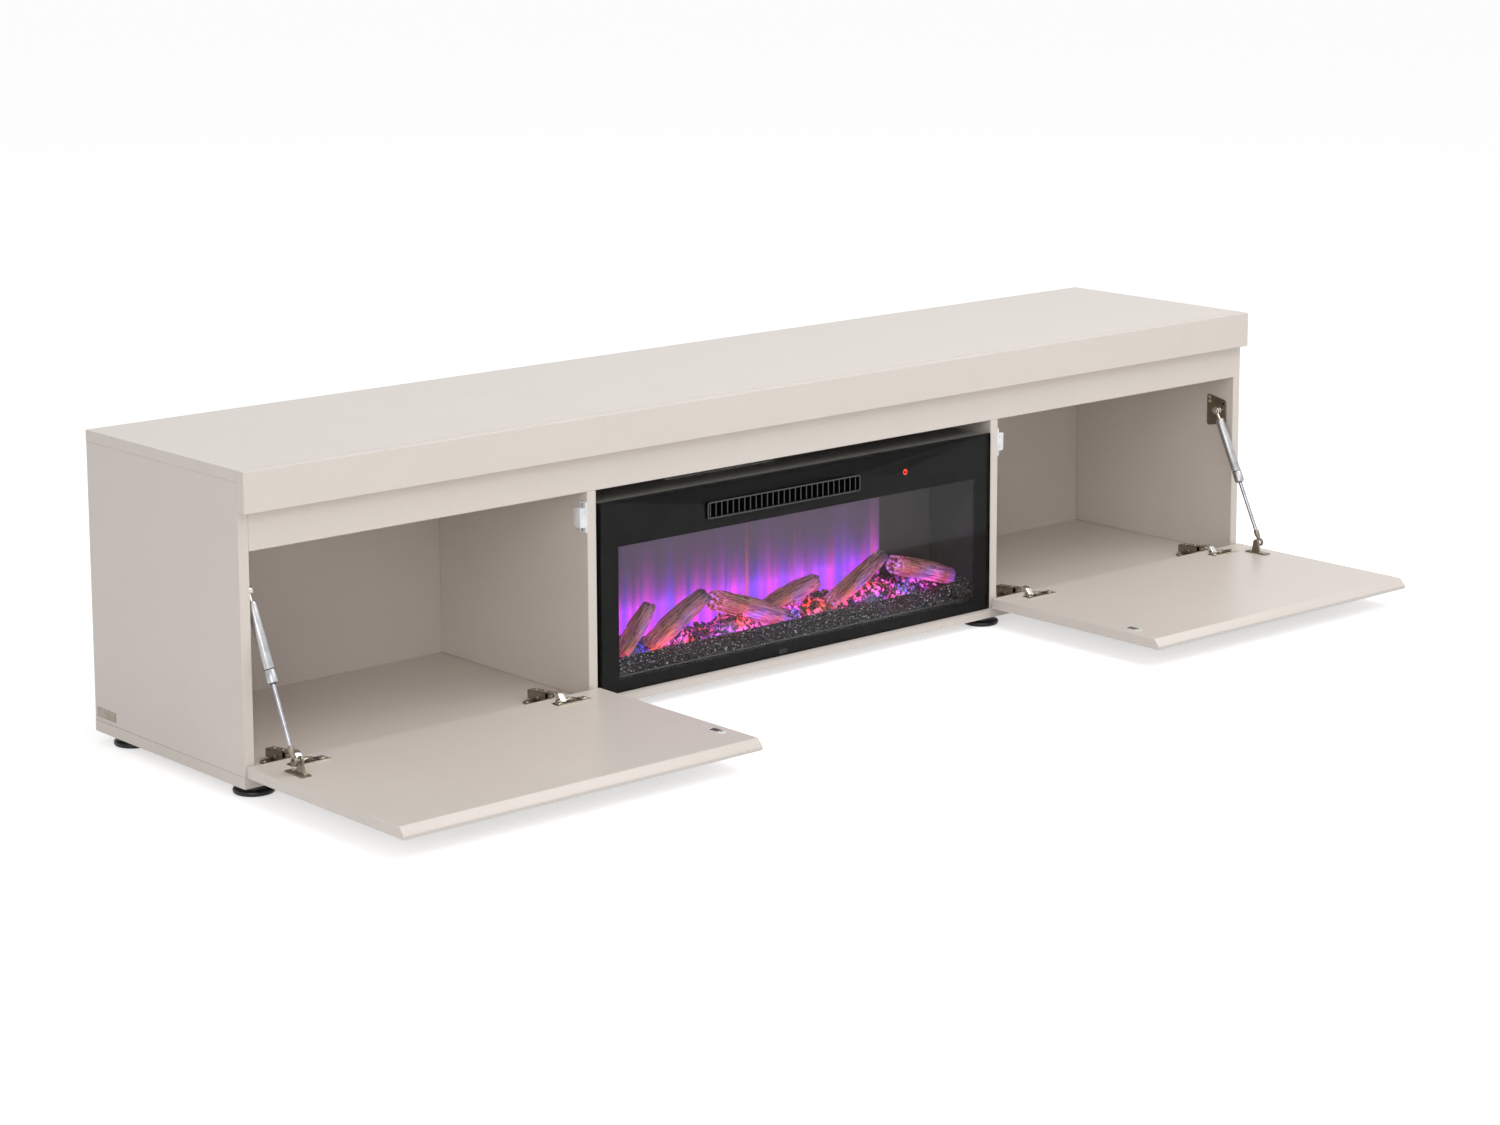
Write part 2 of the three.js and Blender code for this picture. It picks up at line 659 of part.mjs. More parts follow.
function makeCup(name, x) {
  const y = FRONT_Y - CUP_AHEAD;
  const outerRadius = CUP_DIAMETER * HALF;
  const innerRadius = outerRadius - CUP_WALL;
  const shell = rod("z", outerRadius, CUP_DEPTH, [x, y, FLAP_TOP_Z - CUP_DEPTH * HALF], FINE_SIDES);
  const plateZ = FLAP_TOP_Z + FLANGE_THICKNESS * HALF;
  const rim = rod("z", outerRadius + CUP_RIM, FLANGE_THICKNESS, [x, y, plateZ], FINE_SIDES);
  const flangeY = y - FLANGE_OFFSET;
  const flange = box(
    [x - FLANGE_LENGTH * HALF, x + FLANGE_LENGTH * HALF],
    [flangeY - FLANGE_WIDTH * HALF, flangeY + FLANGE_WIDTH * HALF],
    [FLAP_TOP_Z, FLAP_TOP_Z + FLANGE_THICKNESS],
  );
  const hollowDepth = CUP_DEPTH - CUP_WALL + FLANGE_THICKNESS + OVERRUN;
  const hollow = rod(
    "z",
    innerRadius,
    hollowDepth,
    [x, y, FLAP_TOP_Z - CUP_DEPTH + CUP_WALL + hollowDepth * HALF],
    FINE_SIDES,
  );
  const screws = [-HALF, HALF].map((share) =>
    rod("z", SCREW_HEAD_DIAMETER * HALF, FLANGE_THICKNESS + SCREW_HEAD_HEIGHT, [
      x + share * FLANGE_SCREW_SPACING,
      flangeY,
      FLAP_TOP_Z + (FLANGE_THICKNESS + SCREW_HEAD_HEIGHT) * HALF,
    ]),
  );
  const pinOff = CUP_CENTRE_INSET - CUP_PIN_INSET;
  const pinLength = Math.sqrt(innerRadius ** 2 - pinOff ** 2) + CUP_WALL * HALF;
  const pin = rod("x", HINGE_PIN_RADIUS, pinLength + pinLength, [
    x,
    FRONT_Y - PINS.cup.x,
    BASE_Z + PINS.cup.y,
  ]);
  const open = cut(joined([shell, rim, flange]), [hollow]);
  add(name, "nickel", joined([open, pin, ...screws]));
}

// Gas struts

const STRUT_X = SIDE_INNER - STRUT_FROM_SIDE;
const STRUT_EYE = new THREE.Vector2(FLAP_GAP_OPEN + STRUT_EYE_ALONG_FLAP, FLAP_FACE + STRUT_EYE_ABOVE_FLAP);
const STRUT_PIN = new THREE.Vector2(-STRUT_PIN_SETBACK, RAIL_ABOVE_BASE - STRUT_PIN_BELOW_RAIL);
const STRUT_LENGTH = STRUT_EYE.distanceTo(STRUT_PIN);
const STRUT_TILT = Math.atan2(STRUT_EYE.x - STRUT_PIN.x, STRUT_PIN.y - STRUT_EYE.y);

// A strut piece is drawn hanging straight down from the pin, then tilted to the eye
function placeStrut(geometry, side) {
  geometry.rotateX(-STRUT_TILT);
  return geometry.translate(side * STRUT_X, FRONT_Y - STRUT_PIN.x, BASE_Z + STRUT_PIN.y);
}

function lathe(profile, sides = FINE_SIDES) {
  const points = profile.map(([radius, down]) => new THREE.Vector2(radius, down));
  return new THREE.LatheGeometry(points, sides).rotateX(-Math.PI * HALF);
}

function makeTube(name, side) {
  const radius = TUBE_DIAMETER * HALF;
  const bore = radius - TUBE_WALL;
  const gland = ROD_DIAMETER * HALF + ROD_PLAY;
  const collar = radius + TUBE_COLLAR_STEP;
  const tube = lathe([
    [0, TUBE_START],
    [TUBE_NECK_DIAMETER * HALF, TUBE_START],
    [radius, TUBE_START + TUBE_SHOULDER],
    [radius, TUBE_END - TUBE_COLLAR],
    [collar, TUBE_END - TUBE_COLLAR],
    [collar, TUBE_END],
    [gland, TUBE_END],
    [gland, TUBE_END - GLAND_LENGTH],
    [bore, TUBE_END - GLAND_LENGTH],
    [bore, TUBE_START + TUBE_SHOULDER + TUBE_WALL],
    [0, TUBE_START + TUBE_SHOULDER + TUBE_WALL],
  ]);
  const eye = rod("x", STRUT_EYE_DIAMETER * HALF, STRUT_EYE_THICKNESS, [0, 0, 0], FINE_SIDES);
  const neckLength = TUBE_START + TUBE_WALL;
  const neck = rod("z", TUBE_NECK_DIAMETER * HALF, neckLength, [0, 0, -neckLength * HALF]);
  const hole = rod(
    "x",
    STRUT_PIN_DIAMETER * HALF + STRUT_PIN_PLAY,
    TUBE_DIAMETER,
    [0, 0, 0],
    FINE_SIDES,
  );
  add(name, "tube", placeStrut(cut(joined([eye, neck, tube]), [hole]), side));
}

function makeRod(name, side) {
  const radius = ROD_DIAMETER * HALF;
  const piston = TUBE_DIAMETER * HALF - TUBE_WALL - ROD_PLAY;
  const start = TUBE_END - PISTON_FROM_END;
  const tipStart = STRUT_LENGTH - ROD_TIP_LENGTH;
  const shaft = lathe(
    [
      [0, start],
      [piston, start],
      [piston, start + PISTON_LENGTH],
      [radius, start + PISTON_LENGTH],
      [radius, tipStart],
      [ROD_TIP_DIAMETER * HALF, tipStart],
      [ROD_TIP_DIAMETER * HALF, STRUT_LENGTH - radius],
      [0, STRUT_LENGTH - radius],
    ],
    SMALL_SIDES,
  );
  const eye = rod(
    "x",
    STRUT_EYE_DIAMETER * HALF,
    STRUT_EYE_THICKNESS,
    [0, 0, -STRUT_LENGTH],
    FINE_SIDES,
  );
  add(name, "bright", placeStrut(joined([shaft, eye]), side));
}

// The bracket's long edge is at the back
function makeSideBracket(name, side) {
  const frontY = FRONT_Y - STRUT_PIN.x - SIDE_BRACKET_PIN_FROM_FRONT;
  const middleZ = BASE_Z + STRUT_PIN.y - SIDE_BRACKET_PIN_ABOVE_MIDDLE;
  const backHalf = SIDE_BRACKET_BACK_HEIGHT * HALF;
  const frontHalf = SIDE_BRACKET_FRONT_HEIGHT * HALF;
  const backY = frontY + SIDE_BRACKET_DEPTH;
  const shape = outline([
    [frontY, middleZ - frontHalf],
    [backY, middleZ - backHalf],
    [backY, middleZ + backHalf],
    [frontY, middleZ + frontHalf],
  ]);
  const inset = SIDE_BRACKET_HOLE_INSET;
  for (const [y, z] of [
    [frontY + inset, middleZ + frontHalf - inset],
    [frontY + inset, middleZ - frontHalf + inset],
    [backY - inset, middleZ + backHalf - inset],
    [backY - inset, middleZ - backHalf + inset],
    [backY - inset, middleZ + backHalf - inset - inset - inset],
  ])
    circleHole(shape, y, z, SIDE_BRACKET_HOLE_DIAMETER * HALF);
  const plate = new THREE.ExtrudeGeometry(shape, {
    depth: SIDE_BRACKET_THICKNESS,
    bevelEnabled: false,
    curveSegments: ARC_STEPS,
  });
  plate.applyMatrix4(
    new THREE.Matrix4().makeBasis(
      new THREE.Vector3(0, 1, 0),
      new THREE.Vector3(0, 0, 1),
      new THREE.Vector3(1, 0, 0),
    ),
  );
  plate.translate(side < 0 ? -SIDE_INNER : SIDE_INNER - SIDE_BRACKET_THICKNESS, 0, 0);
  const pinY = FRONT_Y - STRUT_PIN.x;
  const pinZ = BASE_Z + STRUT_PIN.y;
  const eyeHalf = STRUT_EYE_THICKNESS * HALF;
  const along = (radius, from, to) =>
    rod("x", radius, from - to, [side * (from + to) * HALF, pinY, pinZ], FINE_SIDES);
  const inPlate = SIDE_INNER - SIDE_BRACKET_THICKNESS * HALF;
  const eyeOuter = STRUT_X + eyeHalf + STRUT_PIN_PLAY;
  const eyeInner = STRUT_X - eyeHalf - STRUT_PIN_PLAY;
  const boss = along(SIDE_BOSS_DIAMETER * HALF, inPlate, eyeOuter);
  const pin = along(STRUT_PIN_DIAMETER * HALF, inPlate, eyeInner);
  const head = along(STRUT_PIN_HEAD_DIAMETER * HALF, eyeInner, eyeInner - STRUT_PIN_HEAD);
  add(name, "nickel", joined([plate, boss, pin, head]));
}

function makeFlapBracket(name, side) {
  const x = side * (STRUT_X - STRUT_EYE_THICKNESS);
  const eyeY = FRONT_Y - STRUT_EYE.x;
  const eyeZ = BASE_Z + STRUT_EYE.y;
  const plate = box(
    [x - FLAP_BRACKET_WIDTH * HALF, x + FLAP_BRACKET_WIDTH * HALF],
    [eyeY - FLAP_BRACKET_LENGTH * HALF, eyeY + FLAP_BRACKET_LENGTH * HALF],
    [FLAP_TOP_Z, FLAP_TOP_Z + FLAP_BRACKET_THICKNESS],
  );
  const shape = new THREE.Shape();
  shape.moveTo(STRUT_EYE.x - FLAP_EAR_LENGTH * HALF, FLAP_FACE);
  shape.lineTo(STRUT_EYE.x + FLAP_EAR_LENGTH * HALF, FLAP_FACE);
  shape.absarc(STRUT_EYE.x, STRUT_EYE.y, FLAP_EAR_TOP_RADIUS, 0, Math.PI, false);
  shape.closePath();
  const eyeFace = STRUT_X - STRUT_EYE_THICKNESS * HALF - STRUT_STUD_GAP;
  const earFace = eyeFace - STRUT_STUD_LENGTH;
  const ear = acrossX(shape, FLAP_EAR_THICKNESS, side * (earFace - FLAP_EAR_THICKNESS * HALF));
  const studStart = earFace - FLAP_EAR_THICKNESS * HALF;
  const stud = rod("x", STRUT_STUD_DIAMETER * HALF, eyeFace - studStart, [
    side * (eyeFace + studStart) * HALF,
    eyeY,
    eyeZ,
  ]);
  const screws = [-1, 1].map((way) =>
    rod("z", SCREW_HEAD_DIAMETER * HALF, FLAP_BRACKET_THICKNESS + SCREW_HEAD_HEIGHT, [
      x - side * FLAP_BRACKET_SCREW_SHIFT,
      eyeY + way * (FLAP_BRACKET_LENGTH * HALF - SCREW_HEAD_DIAMETER),
      FLAP_TOP_Z + (FLAP_BRACKET_THICKNESS + SCREW_HEAD_HEIGHT) * HALF,
    ]),
  );
  add(name, "nickel", joined([plate, ear, stud, ...screws]));
}

// Magnet catches

const CATCH_UP = RAIL_ABOVE_BASE - CATCH_BELOW_RAIL;

function makeCatch(name, side) {
  const innerX = DIVIDER_OUTER;
  const outerX = DIVIDER_OUTER + CATCH_BODY_WIDTH;
  const frontY = FRONT_Y + CATCH_SETBACK;
  const z = BASE_Z + CATCH_UP;
  const spread = (height) => [z - height * HALF, z + height * HALF];
  const deep = [frontY, frontY + CATCH_BODY_DEPTH];
  const earX = innerX + CATCH_EAR_THICKNESS;
  const body = box(upright(innerX, outerX, side), deep, spread(CATCH_BODY_HEIGHT));
  const ears = box(upright(innerX, earX, side), deep, spread(CATCH_EARS_HEIGHT));
  const middleX = (innerX + outerX) * HALF;
  const slots = [-HALF, HALF].map((share) => {
    const x = middleX + share * CATCH_SLOT_PITCH;
    return box(
      upright(x - CATCH_SLOT_WIDTH * HALF, x + CATCH_SLOT_WIDTH * HALF, side),
      [frontY - OVERRUN, frontY + CATCH_SLOT_DEPTH],
      spread(CATCH_SLOT_HEIGHT),
    );
  });
  const screwOff = (CATCH_EARS_HEIGHT + CATCH_BODY_HEIGHT) * HALF * HALF;
  const holes = [-screwOff, screwOff].map((off) =>
    rod("x", CATCH_SCREW_DIAMETER * HALF, BOARD, [
      side * (innerX + CATCH_EAR_THICKNESS),
      frontY + CATCH_BODY_DEPTH * HALF,
      z + off,
    ]),
  );
  add(name, "white", cut(joined([body, ears]), [...slots, ...holes]));
}

// A closed flap brings its strike plate in front of the catch
function makeStrike(name, side) {
  const along = CATCH_UP - FLAP_BOTTOM_REVEAL;
  const y = FRONT_Y - FLAP_GAP_OPEN - along;
  const x = DIVIDER_OUTER + CATCH_BODY_WIDTH * HALF;
  const half = STRIKE_WIDTH * HALF;
  const plate = box(
    upright(x - half, x + half, side),
    [y - STRIKE_LENGTH * HALF + half, y + STRIKE_LENGTH * HALF - half],
    [FLAP_TOP_Z, FLAP_TOP_Z + STRIKE_THICKNESS],
  );
  const ends = [-1, 1].map((way) =>
    rod("z", half, STRIKE_THICKNESS, [
      side * x,
      y + way * (STRIKE_LENGTH * HALF - half),
      FLAP_TOP_Z + STRIKE_THICKNESS * HALF,
    ]),
  );
  add(name, "bright", joined([plate, ...ends]));
}

// Fireplace insert: front glass, black mask, grille and sheet-metal housing

const GLASS_Z0 = FLOOR_Z + GLASS_LIFT;
const GLASS_Z1 = RAIL_Z - GLASS_TOP_GAP;
const GLASS_HALF = HALF_NICHE - GLASS_SIDE_GAP;
const GRILLE_X = -GRILLE_LEFT_OF_CENTRE;
const GRILLE_Z = GLASS_Z1 - GRILLE_FROM_TOP;
const MASK_BACK_Y = FRONT_Y + MASK_THICKNESS;
const HOUSING_BACK_Y = MASK_BACK_Y + HOUSING_DEPTH;
const HOUSING_HALF = GLASS_HALF - HOUSING_SIDE_MARGIN;
const HOUSING_INNER_X = HOUSING_HALF - SHEET;
const HOUSING_FLOOR_Z = FLOOR_Z + SHEET;
const HOUSING_TOP_Z = GLASS_Z1 - HOUSING_TOP_MARGIN;
const INLET_X = -INLET_LEFT_OF_CENTRE;

function frontPlate() {
  const shape = rectangle(-GLASS_HALF, GLASS_HALF, GLASS_Z0, GLASS_Z1);
  shape.holes.push(roundedPath(GRILLE_X, GRILLE_Z, GRILLE_WIDTH, GRILLE_HEIGHT, GRILLE_CORNER_RADIUS));
  return shape;
}

function makeFront() {
  add("front_glass", "glass", facing(frontPlate(), GLASS_THICKNESS, FRONT_Y - GLASS_THICKNESS));
  const mask = frontPlate();
  const half = GLASS_HALF - WINDOW_SIDE_MARGIN;
  const [z0, z1] = [GLASS_Z0 + WINDOW_BOTTOM_MARGIN, GLASS_Z1 - WINDOW_TOP_MARGIN];
  mask.holes.push(rectangle(-half, half, z0, z1));
  add("front_mask", "steel", facing(mask, MASK_THICKNESS, FRONT_Y));
}

function makeGrille() {
  const outer = (shrink) => {
    const width = GRILLE_WIDTH - shrink - shrink;
    const height = GRILLE_HEIGHT - shrink - shrink;
    const path = roundedPath(GRILLE_X, GRILLE_Z, width, height, GRILLE_CORNER_RADIUS - shrink);
    return new THREE.Shape(path.getPoints(ARC_STEPS));
  };
  const ring = outer(GRILLE_PLAY);
  ring.holes.push(new THREE.Path(outer(GRILLE_PLAY + GRILLE_RIM).getPoints()));
  const frontY = FRONT_Y - GLASS_THICKNESS;
  const frame = facing(ring, GRILLE_DEPTH, frontY);
  const inner = GRILLE_WIDTH - GRILLE_PLAY - GRILLE_PLAY - GRILLE_RIM - GRILLE_RIM;
  const step = inner / LOUVRE_COUNT;
  const louvres = Array.from({ length: LOUVRE_COUNT }, (_, index) => {
    const x = GRILLE_X + (index + HALF) * step - inner * HALF;
    return box(
      [x - LOUVRE_THICKNESS * HALF, x + LOUVRE_THICKNESS * HALF],
      [frontY + GRILLE_LIP, frontY + GRILLE_DEPTH],
      [
        GRILLE_Z - GRILLE_HEIGHT * HALF + GRILLE_PLAY + GRILLE_RIM * HALF,
        GRILLE_Z + GRILLE_HEIGHT * HALF - GRILLE_PLAY - GRILLE_RIM * HALF,
      ],
    );
  });
  add("outlet_grille", "black", joined([frame, ...louvres]));
}

function grid(columns, rows, makeCutter) {
  return Array.from({ length: columns * rows }, (_, index) =>
    makeCutter(index % columns, Math.floor(index / columns)),
  );
}

function makeHousing() {
  const wide = [-HOUSING_HALF, HOUSING_HALF];
  const shell = cut(box(wide, [MASK_BACK_Y, HOUSING_BACK_Y], [FLOOR_Z, HOUSING_TOP_Z]), [
    box(
      [-HOUSING_INNER_X, HOUSING_INNER_X],
      [MASK_BACK_Y - OVERRUN, HOUSING_BACK_Y - SHEET],
      [HOUSING_FLOOR_Z, HOUSING_TOP_Z - SHEET],
    ),
  ]);
  const topHoles = grid(TOP_HOLE_COLUMNS, TOP_HOLE_ROWS, (column, row) => {
    const shift = row % 2 === 0 ? 0 : TOP_HOLE_STAGGER;
    const x = column * TOP_HOLE_PITCH + shift - TOP_HOLES_LEFT_OF_CENTRE;
    const y = FRONT_Y + TOP_HOLE_SETBACK + row * TOP_HOLE_ROW_PITCH;
    return rod("z", TOP_HOLE_DIAMETER * HALF, SHEET + OVERRUN, [x, y, HOUSING_TOP_Z], HOLE_SIDES);
  });
  const topSlots = grid(TOP_SLOT_COLUMNS, TOP_SLOT_ROWS, (column, row) => {
    const x0 = TOP_SLOTS_RIGHT_OF_CENTRE + column * TOP_SLOT_PITCH;
    const y0 = FRONT_Y + TOP_HOLE_SETBACK + row * TOP_SLOT_ROW_PITCH;
    return box([x0, x0 + TOP_SLOT_LENGTH], [y0, y0 + TOP_SLOT_WIDTH], [
      HOUSING_TOP_Z - SHEET - OVERRUN,
      HOUSING_TOP_Z + OVERRUN,
    ]);
  });
  const rearSlots = Array.from({ length: REAR_SLOT_COUNT }, (_, index) => {
    const slotX = (index - (REAR_SLOT_COUNT - 1) * HALF) * REAR_SLOT_PITCH;
    const z1 = HOUSING_TOP_Z - REAR_SLOT_TOP_MARGIN;
    return box(
      [slotX - REAR_SLOT_WIDTH * HALF, slotX + REAR_SLOT_WIDTH * HALF],
      [HOUSING_BACK_Y - SHEET - OVERRUN, HOUSING_BACK_Y + OVERRUN],
      [z1 - REAR_SLOT_LENGTH, z1],
    );
  });
  const inlet = rod(
    "y",
    INLET_DIAMETER * HALF + INNER_PLAY,
    SHEET + OVERRUN,
    [INLET_X, HOUSING_BACK_Y - SHEET * HALF, HOUSING_FLOOR_Z + INLET_ABOVE_FLOOR],
    FINE_SIDES,
  );
  const rotorZ = HOUSING_FLOOR_Z + ROTOR_ABOVE_FLOOR;
  const bearingX = ROTOR_SIDE_MARGIN - HOUSING_INNER_X;
  const bearing = box(
    [bearingX - BEARING_REACH + SHAFT_SEAT, bearingX + SHAFT_SEAT],
    [FRONT_Y + ROTOR_SETBACK - BEARING_WIDTH * HALF, FRONT_Y + ROTOR_SETBACK + BEARING_WIDTH * HALF],
    [HOUSING_FLOOR_Z - SHEET * HALF, rotorZ + BEARING_HEIGHT * HALF],
  );
  const bearingHole = rod("x", ROTOR_SHAFT_DIAMETER * HALF + SHAFT_PLAY, BEARING_REACH + OVERRUN, [
    bearingX,
    FRONT_Y + ROTOR_SETBACK,
    rotorZ,
  ]);
  const cutters = [...topHoles, ...topSlots, ...rearSlots, inlet, bearingHole];
  add("fireplace_housing", "steel", cut(joined([shell, bearing]), cutters));
}

function makeInlet() {
  const y = HOUSING_BACK_Y;
  const z = HOUSING_FLOOR_Z + INLET_ABOVE_FLOOR;
  const flange = rod(
    "y",
    INLET_FLANGE_DIAMETER * HALF,
    INLET_FLANGE_THICKNESS,
    [INLET_X, y + INLET_FLANGE_THICKNESS * HALF, z],
    FINE_SIDES,
  );
  const sleeve = rod(
    "y",
    INLET_DIAMETER * HALF,
    INLET_LENGTH,
    [INLET_X, y + INLET_FLANGE_THICKNESS * HALF - INLET_LENGTH * HALF, z],
    FINE_SIDES,
  );
  const bore = rod(
    "y",
    INLET_BORE_DIAMETER * HALF,
    INLET_LENGTH + INLET_LENGTH,
    [INLET_X, y - INLET_LENGTH * HALF, z],
    SMALL_SIDES,
  );
  add("cord_inlet", "black", cut(joined([flange, sleeve]), [bore]));
}

// Fire bed: a gravel strip in front, and the log set on its ember bed behind

const GRAVEL_FRONT = MASK_BACK_Y - FRONT_Y + GRAVEL_GAP_TO_MASK;
const EMBER_FRONT = GRAVEL_FRONT + GRAVEL_DEPTH + INNER_PLAY;
const HOUSING_FLOOR_UP = BOARD + SHEET;

function makeGravel() {
  const front = -GRAVEL_FRONT;
  const section = outline([
    [front - GRAVEL_DEPTH, HOUSING_FLOOR_UP],
    [front, HOUSING_FLOOR_UP],
    [front, HOUSING_FLOOR_UP + GRAVEL_FRONT_HEIGHT],
    [front - GRAVEL_DEPTH, HOUSING_FLOOR_UP + GRAVEL_BACK_HEIGHT],
  ]);
  const width = (HOUSING_INNER_X - INNER_PLAY) / HALF;
  add("gravel_tray", "gravel", acrossX(section, width, 0));
}

// Each log: centre along X, height above the ember bed, setback from the bed's front, length and
// radius as shares of the bed, then its turn and its tilt in degrees
const LOG_LENGTH = 150;
const LOG_RADIUS = 15;
const LOG_RISE = 50;
const LOG_TABLE_SHARES = [
  [-0.38, 0.82, 0.37, 0.71, 0.87, 12, 36],
  [-0.271, 0.98, 0.32, 0.93, 0.97, 10, 21],
  [-0.06, 0.69, 0.35, 1.12, 1.0, -4, -25],
  [0.08, 0.77, 0.62, 0.91, 0.9, 10, 13],
  [0.246, 0.88, 0.37, 1.07, 0.93, 8, 23],
  [0.439, 0.99, 0.24, 0.97, 0.97, -3, -22],
];

// Heaps of charcoal that carry the logs: centre along X, setback from the bed's front, half length,
// half depth and height
const HEAP_HALF_LENGTH = 50;
const HEAP_HALF_DEPTH = 30;
const HEAP_HEIGHT = 44;
const HEAP_TABLE_SHARES = [
  [-0.4, 0.45, 0.7, 0.9, 0.7],
  [-0.28, 0.48, 0.8, 0.95, 0.8],
  [-0.1, 0.45, 1.0, 0.9, 0.85],
  [0.04, 0.5, 0.9, 0.9, 0.7],
  [0.16, 0.45, 1.0, 0.9, 0.8],
  [0.31, 0.5, 0.9, 1.0, 1.0],
  [0.4, 0.5, 0.9, 1.0, 1.0],
];
const UNIT = 1;
const HEAP_SIDES = 10;
const HEAP_RINGS = 6;
const LOG_TAPER_SHARES = [0.72, 0.95, 1.0, 0.9, 1.02, 0.93, 0.98, 0.7];
const LOG_SIDES = 9;

function logSolid([alongShare, riseShare, backShare, lengthShare, radiusShare, turn, tilt]) {
  const length = LOG_LENGTH * lengthShare;
  const radius = LOG_RADIUS * radiusShare;
  const last = LOG_TAPER_SHARES.length - 1;
  const profile = [new THREE.Vector2(0, -length * HALF)];
  LOG_TAPER_SHARES.forEach((share, index) =>
    profile.push(new THREE.Vector2(radius * share, length * (index / last - HALF))),
  );
  profile.push(new THREE.Vector2(0, length * HALF));
  const log = new THREE.LatheGeometry(profile, LOG_SIDES);
  log.rotateZ(-Math.PI * HALF);
  log.rotateY(-THREE.MathUtils.degToRad(tilt));
  log.rotateZ(THREE.MathUtils.degToRad(turn));
  return log.translate(
    (alongShare * (HOUSING_INNER_X - EMBER_SIDE_MARGIN)) / HALF,
    FRONT_Y + EMBER_FRONT + EMBER_DEPTH * backShare,
    BASE_Z + HOUSING_FLOOR_UP + EMBER_FRONT_HEIGHT + LOG_RISE * riseShare,
  );
}

function heapSolid([alongShare, backShare, lengthShare, depthShare, heightShare]) {
  const heap = new THREE.SphereGeometry(UNIT, HEAP_SIDES, HEAP_RINGS);
  heap.rotateX(Math.PI * HALF);
  heap.scale(HEAP_HALF_LENGTH * lengthShare, HEAP_HALF_DEPTH * depthShare, HEAP_HEIGHT * heightShare);
  const round = heap.translate(
    (alongShare * (HOUSING_INNER_X - EMBER_SIDE_MARGIN)) / HALF,
    FRONT_Y + EMBER_FRONT + EMBER_DEPTH * backShare,
    HOUSING_FLOOR_Z + EMBER_FRONT_HEIGHT,
  );
  const below = box(
    [-HOUSING_INNER_X, HOUSING_INNER_X],
    [FRONT_Y, FRONT_Y + SCREEN_SETBACK],
    [-HEAP_HEIGHT, HOUSING_FLOOR_Z + OVERRUN],
  );
  return cut(round, [below]);
}

function makeLogSet() {
  const front = -EMBER_FRONT;
  const section = outline([
    [front - EMBER_DEPTH, HOUSING_FLOOR_UP],
    [front, HOUSING_FLOOR_UP],
    [front, HOUSING_FLOOR_UP + EMBER_FRONT_HEIGHT],
    [front - EMBER_DEPTH, HOUSING_FLOOR_UP + EMBER_BACK_HEIGHT],
  ]);
  const bed = acrossX(section, (HOUSING_INNER_X - EMBER_SIDE_MARGIN) / HALF, 0);
  const heaps = HEAP_TABLE_SHARES.map(heapSolid);
  add("log_set", "log", joined([bed, ...heaps, ...LOG_TABLE_SHARES.map(logSolid)]));
}

// Behind the logs: flame screen, light bar and the turning reflector that makes the flames

function makeScreen() {
  const x = HOUSING_INNER_X - INNER_PLAY;
  const y0 = FRONT_Y + SCREEN_SETBACK;
  const z = [HOUSING_FLOOR_Z, HOUSING_TOP_Z - SCREEN_TOP_MARGIN];
  add("flame_screen", "screen", box([-x, x], [y0, y0 + SCREEN_THICKNESS], z));
}

function makeRotor() {
  const y = FRONT_Y + ROTOR_SETBACK;
  const z = HOUSING_FLOOR_Z + ROTOR_ABOVE_FLOOR;
  const length = (HOUSING_INNER_X - ROTOR_SIDE_MARGIN) / HALF;
  const shaft = rod("x", ROTOR_SHAFT_DIAMETER * HALF, length, [0, 0, 0]);
  const span = length - MOTOR_LENGTH - MOTOR_LENGTH;
  const pitch = span / ROTOR_VANE_COUNT;
  const vanes = Array.from({ length: ROTOR_VANE_COUNT }, (_, index) => {
    const x = (index + HALF) * pitch - span * HALF;
    const half = pitch * ROTOR_VANE_WIDTH_SHARE * HALF;
    const vane = box(
      [x - half, x + half],
      [-ROTOR_VANE_THICKNESS * HALF, ROTOR_VANE_THICKNESS * HALF],
      [-ROTOR_VANE_REACH, ROTOR_VANE_REACH],
    );
    return vane.rotateX(THREE.MathUtils.degToRad(index * ROTOR_VANE_STEP_DEGREES));
  });
  const rotor = joined([shaft, ...vanes]);
  add("flame_rotor", "mirror", rotor.translate(0, y, z));
  const motorX = length * HALF - SHAFT_SEAT;
  const motorCentre = [motorX + MOTOR_LENGTH * HALF, y, z];
  const motor = rod("x", MOTOR_DIAMETER * HALF, MOTOR_LENGTH, motorCentre, FINE_SIDES);
  const stand = box(
    [motorX, motorX + MOTOR_LENGTH],
    [y - BEARING_WIDTH * HALF, y + BEARING_WIDTH * HALF],
    [HOUSING_FLOOR_Z, z],
  );
  const socketRadius = ROTOR_SHAFT_DIAMETER * HALF + SHAFT_PLAY;
  const socketLength = SHAFT_SEAT + SHAFT_SEAT + SHAFT_PLAY;
  const socket = rod("x", socketRadius, socketLength, [motorX + SHAFT_PLAY * HALF, y, z]);
  add("rotor_motor", "steel", cut(joined([motor, stand]), [socket]));
}

